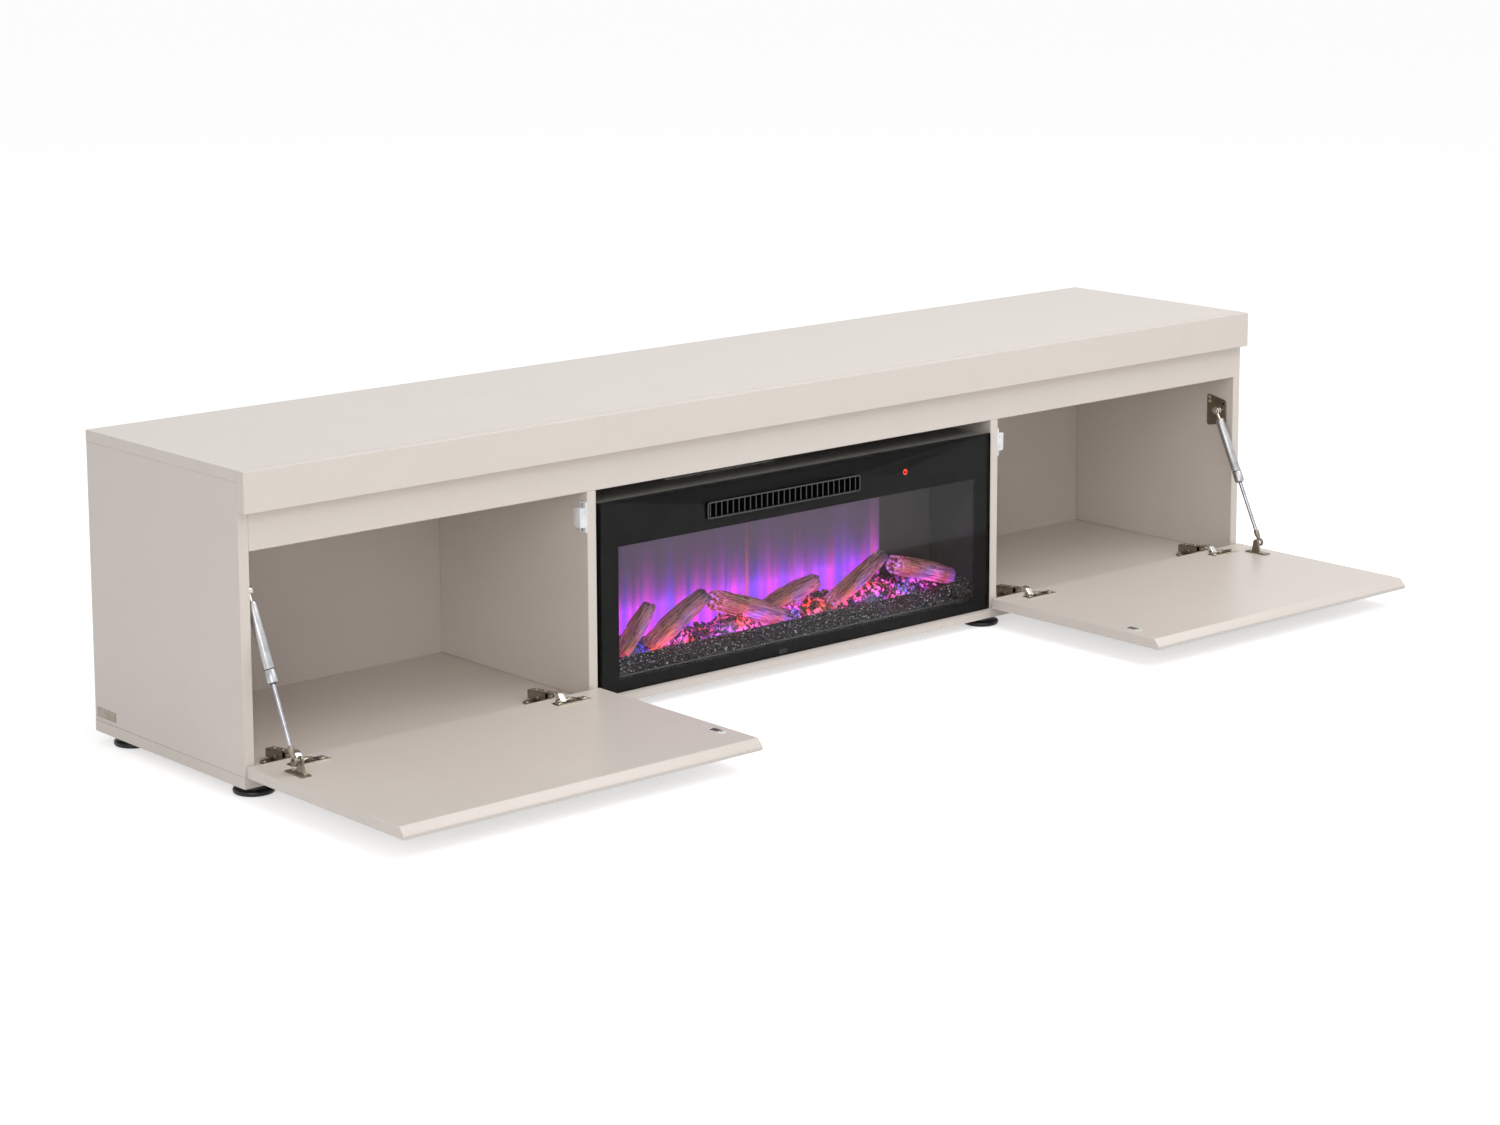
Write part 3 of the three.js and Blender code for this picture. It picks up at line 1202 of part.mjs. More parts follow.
function makeLightBar() {
  const y0 = FRONT_Y + SCREEN_SETBACK + SCREEN_THICKNESS + INNER_PLAY;
  const half = HOUSING_INNER_X - LED_BAR_SIDE_MARGIN;
  const z1 = HOUSING_FLOOR_Z + LED_BAR_HEIGHT;
  const bar = box([-half, half], [y0, y0 + LED_BAR_DEPTH], [HOUSING_FLOOR_Z, z1]);
  const pitch = (half + half) / LED_DOME_COUNT;
  const domes = Array.from({ length: LED_DOME_COUNT }, (_, index) =>
    rod(
      "z",
      LED_DOME_DIAMETER * HALF,
      LED_DOME_DIAMETER,
      [(index + HALF) * pitch - half, y0 + LED_BAR_DEPTH * HALF, z1],
      DOME_SIDES,
    ),
  );
  add("light_bar", "white", joined([bar, ...domes]));
}

// Above the fire: heater duct with its cross-flow blower behind the grille, and the control board

const HEATER_Z1 = HOUSING_TOP_Z - SHEET - INNER_PLAY;
const BLOWER_Z = HEATER_Z1 - HEATER_HEIGHT * HALF;

function makeHeater() {
  const y0 = FRONT_Y + HEATER_FRONT_SETBACK;
  const y1 = y0 + HEATER_DEPTH;
  const x0 = GRILLE_X - HEATER_WIDTH * HALF;
  const x1 = GRILLE_X + HEATER_WIDTH * HALF;
  const z0 = HEATER_Z1 - HEATER_HEIGHT;
  const duct = box([x0, x1], [y0, y1], [z0, HEATER_Z1]);
  const passage = box(
    [x0 + HEATER_WALL, x1 - HEATER_WALL],
    [y0 - OVERRUN, y1 + OVERRUN],
    [z0 + HEATER_WALL, HEATER_Z1 - HEATER_WALL],
  );
  const shaftHole = rod("x", ROTOR_SHAFT_DIAMETER * HALF + SHAFT_PLAY, HEATER_WIDTH + OVERRUN, [
    GRILLE_X,
    FRONT_Y + BLOWER_SETBACK,
    BLOWER_Z,
  ]);
  add("heater_duct", "steel", cut(duct, [passage, shaftHole]));
}

function makeBlower() {
  const radius = BLOWER_DIAMETER * HALF;
  const half = HEATER_WIDTH * HALF - BLOWER_END_MARGIN;
  const shaft = rod("x", ROTOR_SHAFT_DIAMETER * HALF, HEATER_WIDTH, [0, 0, 0]);
  const discs = [-half, half].map((x) => rod("x", radius, BLOWER_DISC_THICKNESS, [x, 0, 0], FINE_SIDES));
  const blades = Array.from({ length: BLOWER_BLADE_COUNT }, (_, index) => {
    const blade = box(
      [-half, half],
      [-BLOWER_BLADE_THICKNESS * HALF, BLOWER_BLADE_THICKNESS * HALF],
      [radius - BLOWER_BLADE_DEPTH, radius - BLOWER_BLADE_THICKNESS],
    );
    return blade.rotateX((index / BLOWER_BLADE_COUNT) * (Math.PI + Math.PI));
  });
  const wheel = joined([shaft, ...discs, ...blades]);
  add("blower_wheel", "black", wheel.translate(GRILLE_X, FRONT_Y + BLOWER_SETBACK, BLOWER_Z));
}

function makeControlBoard() {
  const half = BOARD_PANEL_LENGTH * HALF;
  const y0 = HOUSING_BACK_Y - SHEET - INNER_PLAY - BOARD_PANEL_THICKNESS;
  const z1 = HOUSING_TOP_Z - SHEET - INNER_PLAY;
  const z0 = z1 - BOARD_PANEL_DEPTH;
  const wide = [BOARD_PANEL_RIGHT_OF_CENTRE - half, BOARD_PANEL_RIGHT_OF_CENTRE + half];
  const panel = box(wide, [y0, y0 + BOARD_PANEL_THICKNESS], [z0, z1]);
  const reach = BOARD_CHIP_HEIGHT * HALF;
  const middle = (z0 + z1) * HALF;
  const chipY = [y0 - BOARD_CHIP_HEIGHT, y0 + BOARD_PANEL_THICKNESS * HALF];
  const chips = [-HALF, 0, HALF].map((share) => {
    const x = BOARD_PANEL_RIGHT_OF_CENTRE + share * half;
    return box([x - reach, x + reach], chipY, [middle - reach, middle + reach]);
  });
  add("control_board", "green", joined([panel, ...chips]));
}

makeBoards();
makeBacks();
makeFeet();
makePlate();
for (const [name, side] of Object.entries(SIDES)) {
  makeSide(name, side);
  makeDivider(name, side);
  makeFlap(name, side);
  for (const [place, x] of [
    ["outer", HINGE_X[0]],
    ["inner", HINGE_X[1]],
  ]) {
    makeArm(name + "_" + place + "_hinge_arm", side * x);
    makeLink(name + "_" + place + "_hinge_link", side * x);
    makeCup(name + "_" + place + "_hinge_cup", side * x);
  }
  makeSideBracket(name + "_strut_side_bracket", side);
  makeTube(name + "_strut_tube", side);
  makeRod(name + "_strut_rod", side);
  makeFlapBracket(name + "_strut_flap_bracket", side);
  makeCatch(name + "_catch", side);
  makeStrike(name + "_strike_plate", side);
}
makeFront();
makeGrille();
makeHousing();
makeInlet();
makeGravel();
makeLogSet();
makeScreen();
makeRotor();
makeLightBar();
makeHeater();
makeBlower();
makeControlBoard();

export default root;
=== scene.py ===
"""Looks of a low television stand with drop-down flaps and an electric fireplace insert.

Shapes are built in millimetres and placed in metres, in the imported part's frame: +X along the stand,
the front faces -Y, +Z up.
"""
import json
import math
import random

import bmesh
import bpy
from mathutils import Euler, Matrix, Vector, noise

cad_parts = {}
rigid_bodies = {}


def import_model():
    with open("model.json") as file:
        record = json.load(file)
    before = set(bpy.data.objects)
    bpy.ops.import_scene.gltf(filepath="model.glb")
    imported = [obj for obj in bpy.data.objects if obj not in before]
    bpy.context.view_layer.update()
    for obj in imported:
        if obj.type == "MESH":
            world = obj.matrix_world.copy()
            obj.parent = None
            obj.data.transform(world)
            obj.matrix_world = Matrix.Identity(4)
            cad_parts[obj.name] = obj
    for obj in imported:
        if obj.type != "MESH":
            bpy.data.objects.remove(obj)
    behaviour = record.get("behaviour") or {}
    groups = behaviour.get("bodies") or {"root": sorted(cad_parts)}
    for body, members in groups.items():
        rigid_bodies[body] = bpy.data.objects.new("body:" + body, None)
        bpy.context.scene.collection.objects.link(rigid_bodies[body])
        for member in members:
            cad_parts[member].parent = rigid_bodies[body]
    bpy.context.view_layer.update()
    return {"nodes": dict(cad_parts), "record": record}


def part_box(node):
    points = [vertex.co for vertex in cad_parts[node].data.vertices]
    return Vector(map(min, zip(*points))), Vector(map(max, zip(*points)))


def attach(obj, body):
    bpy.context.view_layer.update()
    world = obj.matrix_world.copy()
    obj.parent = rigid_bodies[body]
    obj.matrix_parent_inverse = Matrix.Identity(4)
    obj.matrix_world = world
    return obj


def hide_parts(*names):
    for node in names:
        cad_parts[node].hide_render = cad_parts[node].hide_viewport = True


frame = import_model()
NODES = frame["nodes"]
BODY_OF = {node: body for body, members in frame["record"]["behaviour"]["bodies"].items() for node in members}
SLOT_OF = {part["node"]: part["material_slot"] for part in frame["record"]["subparts"]}

MM = 0.001
HALF = 0.5
UP = (0, 0, 1)
SIDES = (("left", -1), ("right", 1))

# Camera, fitted to the photograph's edges with a small shift
CAMERA_PLACE = (-3.321906, -3.675894, 1.322473)
CAMERA_TURN = (1.408709, 0.003465, -0.717903)
CAMERA_LENS = 80.3723
CAMERA_SENSOR = 36.0
CAMERA_SHIFT_X = 0.0065
CAMERA_SHIFT_Y = -0.1503

# Lamps: name, place, point aimed at, width, power in watts
LAMPS = (
    ("lamp_front", (-0.6, -4.6, 1.7), (0.0, 0.0, 0.2), 3.4, 9),
    ("lamp_top", (0.8, -1.6, 3.4), (0.0, 0.0, 0.3), 3.6, 82),
    ("lamp_left", (-4.4, -3.4, 2.2), (0.0, 0.0, 0.2), 2.6, 54),
    ("lamp_low_left", (-4.2, -3.4, 0.9), (0.0, 0.0, 0.2), 1.8, 12),
)
WORLD_STRENGTH = 0.49
FLOOR_REACH = 30.0
FLOOR_GLOW = 0.56
FLOOR_TONE = 0.8
FLOOR_ROUGH = 0.9
FLOOR_SHINE = 0.1

# Colours, as they look, in sRGB
BOARD_DEEP_COLOUR = (212, 203, 195)
SHEET_COLOUR = (30, 30, 31)
SHEET_LIFT = 4
# A lighter grey on the housing's top side, a painted reflection
SHEET_TOP_PAINTED_REFLECTION = (158, 158, 153)
RED_LIGHT_COLOUR = (255, 70, 50)
# Laminates: look, name and colour
LAMINATES = (
    ("board", "laminate_greige", (222, 213, 205)),
    # A greyer copy of the board, painted shade on the upright face along each flap's free edge
    ("edge_band", "edge_band", (203, 199, 195)),
    ("back", "laminate_back", (217, 209, 203)),
)
# Metals: look, name, colour, roughness, share of metal and, where the grain is drawn out, its scales
METALS = (
    ("nickel", "nickel_plated", (146, 136, 121), 0.36, 0.8),
    # A darker copy of the nickel, painted shade on the hinge cups' flange wings
    ("nickel_dark", "nickel_shaded", (84, 76, 66), 0.4, 0.7),
    # A lighter, glossier copy of the nickel, a painted highlight on rims, washers, pins and eyes
    ("nickel_light", "nickel_rubbed", (226, 219, 202), 0.18, 1.0),
    ("bright", "bright_plated", (232, 230, 226), 0.14, 1.0),
    ("tube", "tube_silver", (186, 186, 188), 0.3, 0.85),
    ("brass", "brass_passivated", (212, 200, 168), 0.35, 0.6),
    ("collar", "collar_silver", (184, 184, 186), 0.3, 0.8),
    ("chrome", "rod_chrome", (176, 177, 182), 0.12, 1.0),
    ("plate", "plate_satin", (158, 148, 138), 0.35, 1.0, (1.0, 0.05, 1.0)),
    ("mirror", "mirror_strip", (230, 230, 232), 0.06, 1.0),
    ("screw", "screw_bright", (206, 198, 182), 0.2, 1.0),
    # Near-white: partly the bare punched edge, partly a painted highlight
    ("hole_rim", "punched_edge", (244, 244, 240), 0.5, 0.15),
)
# Plastics and paint: look, name, colour, roughness, scale and strength of the grain, and shine
PLASTICS = (
    ("white", "plastic_white", (238, 241, 244), 0.3, 1500.0, 0.1, 0.4),
    ("black", "plastic_black", (26, 26, 27), 0.36, 1500.0, 0.1, 0.4),
    # A deeper black, partly the louvres' own black, partly painted shade
    ("louvre", "louvre_black", (12, 12, 12), 0.4, 1500.0, 0.1, 0.1),
    # Grey on the louvres' front faces, a painted highlight
    ("louvre_edge", "louvre_edge", (70, 70, 68), 0.3, 1500.0, 0.1, 0.4),
    ("sheet", "sheet_black", SHEET_COLOUR, 0.34, 900.0, 0.05, 0.5),
    ("mask", "enamel_black", (33, 32, 31), 0.06, 900.0, 0.0, 0.14),
    # Grey on the pane's upward edge faces, painted light
    ("glass_edge", "glass_edge", (96, 98, 96), 0.15, 900.0, 0.02, 0.6),
    # The receiver window's own near-black, also painted shade on the pane's other edge faces and in a bracket
    # hole
    ("receiver", "receiver_window", (12, 8, 10), 0.08, 900.0, 0.0, 0.5),
)

# The places that the solids take, in millimetres
FLOOR_TOP = 31.0
FLAP_TOP = 47.0
HINGE_X = (477.0, 923.0)
ARM_PIN = (-8.84, 47.55)
CUP_PIN = (-29.0, 44.0)
CUP_CENTRE_Y = -41.0
FLANGE_Y = -48.5
STRUT_X = 971.0
STRUT_PIN = (13.0, 277.0)
STRUT_EYE = (-88.0, 65.0)
SIDE_INNER = 984.0
DIVIDER_OUTER = 416.0

# Materials
METAL_WEAR = 0.12
GRAIN_RANGE = (0.3, 0.7)
# Depths of the bumps, in metres
PEEL_DEPTH = 0.0003
GRAIN_DEPTH = 0.0001
BARK_DEPTH = 0.0022
LUMP_DEPTH = 0.002
VEIN_DEPTH = 0.0005
TRACK_DEPTH = 0.0002
# The pane, its window and the housing's top, in metres
GLASS_IOR = 1.2
GLASS_CLEAR = 0.90
GLASS_ROUGH = 0.015
WINDOW_HALF = 0.360
WINDOW_Z = (0.051, 0.247)
PANE_BLEND = 0.0005
SHEET_TOP_Z = (0.3132, 0.3138)
# Flame light on the screen, in metres: where it spans, its foot, and the heights over which it fades
FLAME_X = (-0.386, 0.276)
FLAME_EDGES = (0.014, 0.003)
FLAME_FOOT = 0.115
FLAME_FADES = (0.016, 0.027)
FLAME_POWER = 1.5
RED_FADE = 0.036
RED_STREAKS = ((-0.0056, 1.0), (0.0937, 0.42), (0.1967, 0.3), (0.2573, 0.6))
RED_STREAK_WIDTH = 0.0065
RED_COLOUR = (0.75, 0.10, 0.12, 1.0)
HAZE_COLOUR = (0.044, 0.026, 0.054, 1.0)
UNLIT = (0.0, 0.0, 0.0, 1.0)
# Heights and greys of the screen's own grey, lighter towards the top as painted light from above
SCREEN_Z = (0.075, 0.234)
SCREEN_PAINTED_GREYS = (0.03, 0.145)
FLAME_HUES = (
    (0.30, (0.12, 0.05, 1.0, 1.0)),
    (0.42, (0.30, 0.04, 1.0, 1.0)),
    (0.50, (0.52, 0.035, 0.98, 1.0)),
    (0.58, (0.85, 0.04, 0.80, 1.0)),
    (0.66, (0.42, 0.035, 1.0, 1.0)),
)
EMBER_HUES = (
    (0.32, (1.0, 0.06, 0.03, 1.0)),
    (0.42, (1.0, 0.07, 0.22, 1.0)),
    (0.50, (1.0, 0.09, 0.60, 1.0)),
    (0.59, (0.72, 0.10, 1.0, 1.0)),
    (0.66, (0.14, 0.14, 1.0, 1.0)),
    (0.73, (1.0, 0.10, 0.12, 1.0)),
)
BARK_HUES = (
    (0.36, (1.0, 0.07, 0.04, 1.0)),
    (0.48, (1.0, 0.09, 0.26, 1.0)),
    (0.56, (1.0, 0.11, 0.66, 1.0)),
    (0.66, (0.45, 0.10, 1.0, 1.0)),
)
# The palest stop gives light grain lines and painted glints
BARK_BROWNS = (
    (0.38, (0.03, 0.014, 0.012, 1.0)),
    (0.44, (0.17, 0.08, 0.068, 1.0)),
    (0.50, (0.42, 0.22, 0.19, 1.0)),
    (0.56, (0.58, 0.34, 0.31, 1.0)),
    (0.63, (1.0, 0.86, 0.84, 1.0)),
)
CRACK_TONE = (0.010, 0.007, 0.007, 1.0)
BURNT_TONE = (0.016, 0.012, 0.012, 1.0)
TIP_HUE = (0.22, 0.20, 1.0, 1.0)
BARK_GLOW = 1.45
TIP_GLOW = 2.0
EMBER_POWER = 4.8
BLUE_EMBER = (0.10, 0.05, 1.0, 1.0)
BLUE_END_X = (-0.270, -0.246)
BED_POWER = 3.0
CHIP_GREYS = ((0.0, 0.008), (0.62, 0.022), (0.79, 0.07), (0.87, 0.5), (0.94, 1.0))

# Solids
# How square to an axis a face has to be to be shaded flat
SQUARE_LIMIT = 0.9995
# Angles in degrees: edges that get eased, faces taken as one plane, and edges shaded sharp
EASE_ANGLE = 28.0
PLANE_ANGLE = 1.0
SHARP_ANGLE = 34.0
CORNER_STEPS = 5
# A screw's head and its cross, as shares of the head's radius
CROSS_REACH = 0.62
CROSS_HALF_WIDTH = 0.13
CROSS_Z = (0.02, 1.0)
HEAD_PROFILE = ((0, -0.3), (1.0, -0.3), (1.0, 0.06), (0.9, 0.18), (0.6, 0.28), (0.3, 0.31), (0, 0.32))
HEAD_SIDES = 24

# Cabinet, in millimetres
BOARD_EASE = 1.0
# How far forward a flap's face must lie to take the painted shade
SHADED_LAND_FRONT_Y = -0.3
BOARD_NODES = (
    "bottom_board", "top_board", "left_side", "right_side", "left_divider", "right_divider", "front_apron",
    "upper_rail", "left_flap", "right_flap",
)
FOOT_PROFILE = (
    (0, 0), (25.5, 0), (27.6, 0.7), (28.8, 2.4), (29.0, 4.6), (28.2, 6.4), (25.6, 7.6), (23.6, 9.2),
    (23.0, 11.5), (23.0, 15.0), (0, 15.0),
)
PLATE_X = -1000.6
PLATE_RIVETS = ((321.0, 44.0), (361.0, 44.0))
PLATE_EASE = 0.15
RIVET_PROFILE = ((0, -0.2), (1.5, -0.2), (1.5, 0.05), (0, 0.3))
RIVET_SEAT = 0.3
RIVET_SIDES = 16
FOOT_SIDES = 64

# Hinges, in millimetres
ARM_SIDE = (
    (46.0, 34.2), (46.0, 45.8), (44.6, 46.9), (4.2, 50.5), (-3.0, 51.2), (-8.84, 51.8), (-11.6, 50.6),
    (-13.0, 48.0), (-12.2, 45.0), (-9.4, 43.4), (-3.0, 42.4), (4.2, 40.4), (15.0, 36.6), (24.0, 34.2),
)
ARM_HALF_WIDTH = 7.0
ARM_EASE = 0.8
FORK_HALF_WIDTH = 5.4
REAR_FROM_Y = -3.6
NOSE_TO_Y = 4.5
ARM_SCREWS = ((34.0, 48.0), (14.0, 49.8))
ARM_SCREW_RISE = 0.3
ARM_SCREW_RADIUS = 3.0
ARM_WASHER = ((2.0, -1.6), (3.9, -1.6), (4.1, -0.6), (3.7, 0.0), (2.0, 0.0))
ARM_WASHER_SIDES = 28
# Heads of the pin and the rivet: place in Y and Z, span across, radius and sides
ARM_HEADS = ((ARM_PIN, (6.0, 7.5), 1.9, 20), ((22.0, 39.6), (6.4, 7.7), 1.6, 16))
ARM_HEAD_EASE = 0.3
SHEET_EASE = 0.35
WING_Y = 31.0
WING_REACH = 15.0
WING_RADIUS = 9.0
WING_WAIST = 7.0
WING_THICKNESS = 2.4
WING_SCREW_REACH = 19.0
WING_SCREW_Z = 33.6
# The arcs of the mounting plate's ends, in degrees
BONE_START = -120
BONE_STEP = 20
BONE_POINTS = 13
SCREW_RADIUS = 3.4
LINK_HALF_WIDTH = 5.0
LINK_SIDE = (
    (-32.0, 42.8), (-24.6, 52.4), (-21.6, 54.6), (-15.0, 55.6), (-8.6, 54.0), (-5.6, 50.4), (-5.4, 46.8),
    (-8.8, 44.2), (-12.4, 46.6), (-16.0, 50.0), (-20.2, 49.2), (-26.6, 41.6), (-30.0, 40.4),
)
LINK_EASE = 0.45
LINK_EYE_SEAT = 0.6
LINK_EYE_REACH = 0.3
LINK_EYE_RADIUS = 2.1
LINK_EYE_EASE = 0.25
LINK_EYE_SIDES = 20
CUP_PROFILE = (
    (0, 36.6), (15.6, 36.8), (16.2, 37.6), (16.3, 46.6), (16.8, 47.4), (17.6, 47.6), (18.0, 47.2),
    (17.5, 46.9), (17.5, 35.5), (0, 35.5),
)
CUP_PIN_HALF = 10.5
CUP_PIN_RADIUS = 1.5
CUP_PIN_SIDES = 16
CUP_SIDES = 56
WING_SIZE = (20.5, 21.0)
WING_OFF = 20.25
FLANGE_RADIUS = 4.0
FLANGE_THICKNESS = 1.3
FLANGE_SCREW_X = 22.5
FLANGE_PAD = (11.0, 4.0, 1.75)
RIM_WIDTH = 3.2
RIM_THICKNESS = 0.4
LIP_SIZE = (61.0, 3.2)
LIP_RADIUS = 1.4
LIP_THICKNESS = 1.6
LIP_OFF = 8.8

# Gas struts and their brackets, in millimetres
TUBE_PROFILE = (
    (0, 14.6), (3.4, 14.8), (6.4, 15.8), (7.3, 17.6), (7.5, 20.0), (7.5, 108.2), (7.2, 108.8), (7.2, 109.6),
    (5.6, 109.6), (5.6, 22.0), (0, 22.0),
)
COLLAR_PROFILE = (
    (3.4, 109.4), (7.5, 109.4), (7.9, 110.2), (7.9, 125.0), (7.5, 127.2), (6.2, 128.0), (3.4, 128.0),
)
COLLAR_LINE_PROFILE = ((7.0, 108.4), (7.6, 108.4), (7.6, 109.8), (7.0, 109.8))
GLAND_PROFILE = ((3.3, 127.6), (4.6, 127.6), (4.8, 128.6), (3.7, 129.2), (3.3, 129.2))
ROD_PROFILE = ((0, 112.0), (3.0, 112.0), (3.0, 213.0), (3.4, 213.4), (3.4, 214.2), (0, 214.2))
TIP_PROFILE = ((0, 213.6), (3.8, 213.6), (4.4, 215.0), (4.4, 222.0), (3.6, 224.0), (3.0, 229.6), (0, 229.6))
RING_PROFILE = ((3.9, -2.5), (5.9, -2.5), (6.5, -1.8), (6.5, 1.8), (5.9, 2.5), (3.9, 2.5))
STEM_PROFILE = ((0, 5.6), (2.4, 5.6), (2.6, 12.0), (3.3, 15.2), (0, 15.2))
WASHER_PROFILE = ((3.0, -0.5), (6.4, -0.5), (6.6, 0.0), (6.4, 0.5), (3.0, 0.5))
RING_SIDES = 40
WASHER_SIDES = 32
# Parts of the strut: profile, sides and look
TUBE_PARTS = (
    (TUBE_PROFILE, 56, 0),
    (COLLAR_PROFILE, 56, 1),
    (COLLAR_LINE_PROFILE, 56, 3),
    (GLAND_PROFILE, 40, 3),
    (STEM_PROFILE, 28, 2),
)
ROD_PARTS = ((ROD_PROFILE, 32, 0), (TIP_PROFILE, 28, 1))
# Pieces of the strut: name, looks, parts, the pivot that the ring goes round and the ring's look
STRUT_PIECES = (
    # The tube's stem and ring take the lighter copy of the nickel, a painted highlight.
    ("tube", ("tube", "collar", "nickel_light", "black"), TUBE_PARTS, STRUT_PIN, 2),
    ("rod", ("chrome", "nickel", "nickel_light"), ROD_PARTS, STRUT_EYE, 1),
)
BRACKET_CORNERS = ((2.0, 254.5), (44.0, 246.5), (44.0, 301.5), (2.0, 293.5))
BRACKET_RADIUS = 6.0
BRACKET_THICKNESS = 2.0
BRACKET_PIN_RADIUS = 3.0
BRACKET_PIN_X = 966.8
BRACKET_SCREWS = ((38.4, 296.0), (38.4, 289.0), (7.6, 261.0))
BRACKET_SCREW_RADIUS = 2.9
BRACKET_HOLE = (8.0, 287.5)
BRACKET_PIN_SIDES = 28
BRACKET_PIN_EASE = 0.5
BRACKET_SCREW_RISE = 0.35
BRACKET_HOLE_RISE = 0.15
BRACKET_HOLE_RADIUS = 2.2
# Washers on the pin, off the strut's middle
WASHER_REACHES = (2.9, -3.0)
FLAP_BRACKET_SHIFT = 2.5
FLAP_BRACKET_SCREWS = (-14.0, 14.0)
FLAP_BRACKET_RISE = 2.4
FLAP_BRACKET_SCREW_RADIUS = 3.2
SOFT_STEPS = 6

# Catches and strike plates, in millimetres
CATCH_Z = 298.5
CATCH_FRONT_Y = -11.5
CATCH_EAR_OFF = 18.2
CATCH_SLOTS_X = (419.5, 425.5)
STRIKE_Y = -298.5
STRIKE_X = 422.5
CATCH_EASE = 0.6
SLOT_HALF_WIDTH = 0.7
SLOT_SPAN_Y = (0.1, 3.9)
SLOT_REACH_Z = 9.6
INLAY_EASE = 0.2
CATCH_SCREW_OUT = 3.1
CATCH_SCREW_BACK = 7.5
CATCH_SCREW_RADIUS = 2.4
STRIKE_EASE = 0.3
STRIKE_CAP = ((-5.4, 5.4), (-8.5, 8.5), (0.0, 0.5))
STRIKE_CAP_RISE = 1.1
STRIKE_SCREW_OFF = 13.0
STRIKE_SCREW_RISE = 1.3
STRIKE_SCREW_RADIUS = 2.3

# Fireplace insert, in millimetres
FACE_LIMIT = 0.6
PANE_EASE = 0.3
PANE_SHARP = 20.0
GLASS_FACE_Y = -16.0
TOUCH_PLACE = (212.2, 278.6)
TOUCH_Y = -12.3
TOUCH_PROFILE = ((3.1, 0.0), (4.2, 0.0), (4.2, 0.2), (3.1, 0.2))
TOUCH_BAR = ((-0.55, 0.55), (-0.2, 0.0), (0.8, 4.6))
RECEIVER_PLACE = (-42.0, 37.7)
RECEIVER_Y = -12.2
RECEIVER_SIZE = (17.0, 7.0)
RECEIVER_RADIUS = 1.5
RECEIVER_THICKNESS = 0.2
INSIDE_LOOKS = (
    ("fireplace_housing", "housing"),
    ("cord_inlet", "black"),
    ("flame_screen", "flames"),
    ("flame_rotor", "mirror"),
    ("rotor_motor", "sheet"),
    ("light_bar", "white"),
    ("heater_duct", "sheet"),
    ("blower_wheel", "black"),
    ("control_board", "circuit"),
)
HOLES_LEFT_X = -207.0
HOLES_FRONT_Y = 60.0
HOLE_PITCH = 9.0
HOLE_ROW_PITCH = 8.0
HOLE_STAGGER = 4.5
HOLE_COLUMNS = 24
HOLE_ROWS = 3
HOUSING_TOP = 314.0
RIM_PROFILE = ((2.4, -0.2), (4.0, -0.2), (3.5, 0.7), (2.6, 0.7))
RIM_SIDES = 20
GRAVEL_Y = (-7.0, 31.5)
GRAVEL_Z = (54.5, 68.5)
GRAVEL_X = 384.0
GRAVEL_COUNT = 5600
GRAVEL_SIZE = (1.0, 2.3)
# Heap at the right end: centre x and y, reach, height
PILE = (372.0, 26.0, 30.0, 34.0)
PILE_COUNT = 420
PILE_RISE = 4.0
PILE_ROUGH = 6.0
GRAVEL_ROUGH = (-1.0, 1.4)
GRAVEL_SEED = 41
# Broken chips: points of the hull, their distances, the shapes in use and the least width
ROCK_POINTS = 9
ROCK_RADII = (0.7, 1.15)
SHAPE_COUNT = 7
SQUASH = 0.75
BED_X = 350.0
BED_Y = (32.5, 106.0)
BED_Z = (56.5, 66.5)
EMBER_COUNT = 620
EMBER_SIZE = (4.0, 9.0)
EMBER_X = (-370.0, 366.0)
EMBER_LIFT = (-0.2, 0.5)
EMBER_SEED = 23
BED_COLUMNS = 150
BED_ROWS = 22
BED_ROUGH = 2.6
BED_GRAIN = 0.06
BED_FRACTAL = (0.8, 2.1, 4)
BED_SHARP = 60.0
# Heaps: centre x and y, half length, half depth, height
HEAPS = (
    (-280.0, 65.6, 35.0, 27.0, 29.0),
    (-196.0, 67.8, 40.0, 28.5, 31.0),
    (-70.0, 65.6, 50.0, 27.0, 33.0),
    (28.0, 69.3, 45.0, 27.0, 29.0),
    (112.0, 65.6, 50.0, 27.0, 31.0),
    (217.0, 69.3, 45.0, 30.0, 38.0),
    (284.0, 67.3, 50.0, 30.0, 34.0),
)
# Logs: centre, length, radius, turn and tilt in degrees, light in the left end
LOGS = (
    ((-271.0, 59.7, 95.0), 98.0, 15.0, 12.0, 41.0, 0.0),
    ((-195.5, 56.0, 98.3), 146.0, 17.0, 10.0, 22.5, 0.0),
    ((-44.9, 58.2, 87.0), 172.0, 18.0, -4.0, -20.5, 0.8),
    ((55.0, 78.2, 94.0), 134.0, 16.5, 10.0, 9.0, 0.0),
    ((173.4, 59.7, 99.5), 158.0, 16.5, 8.0, 22.0, 0.7),
    ((307.5, 50.0, 98.0), 140.0, 16.5, -3.0, -17.0, 0.9),
)
LOG_RINGS = 76
LOG_SIDES = 56
LOG_SHARP = 50.0
LOG_SEED = 3
LOG_BEND = 2.5
FACET_COUNT = 4
FACET_DEPTHS = (0.76, 0.93)
# A log is thickest at the belly and rounds off over its last rings
LOG_TAPER = 0.88
LOG_BELLY = 0.45
END_START = 0.6
END_RINGS = 3.0
# Grain along and round a log, how far it lifts the surface, and the furrows
GRAIN_ALONG = 0.018
GRAIN_ROUND = 2.6
GRAIN_FRACTAL = (0.7, 2.2, 5)
GRAIN_LIFT = 0.16
FACET_LIFT = 0.05
FURROW_ALONG = 2.2
FURROW_ROUND = 5.2
FURROW_STEEP = 5.0
FURROW_DEPTH = 0.10
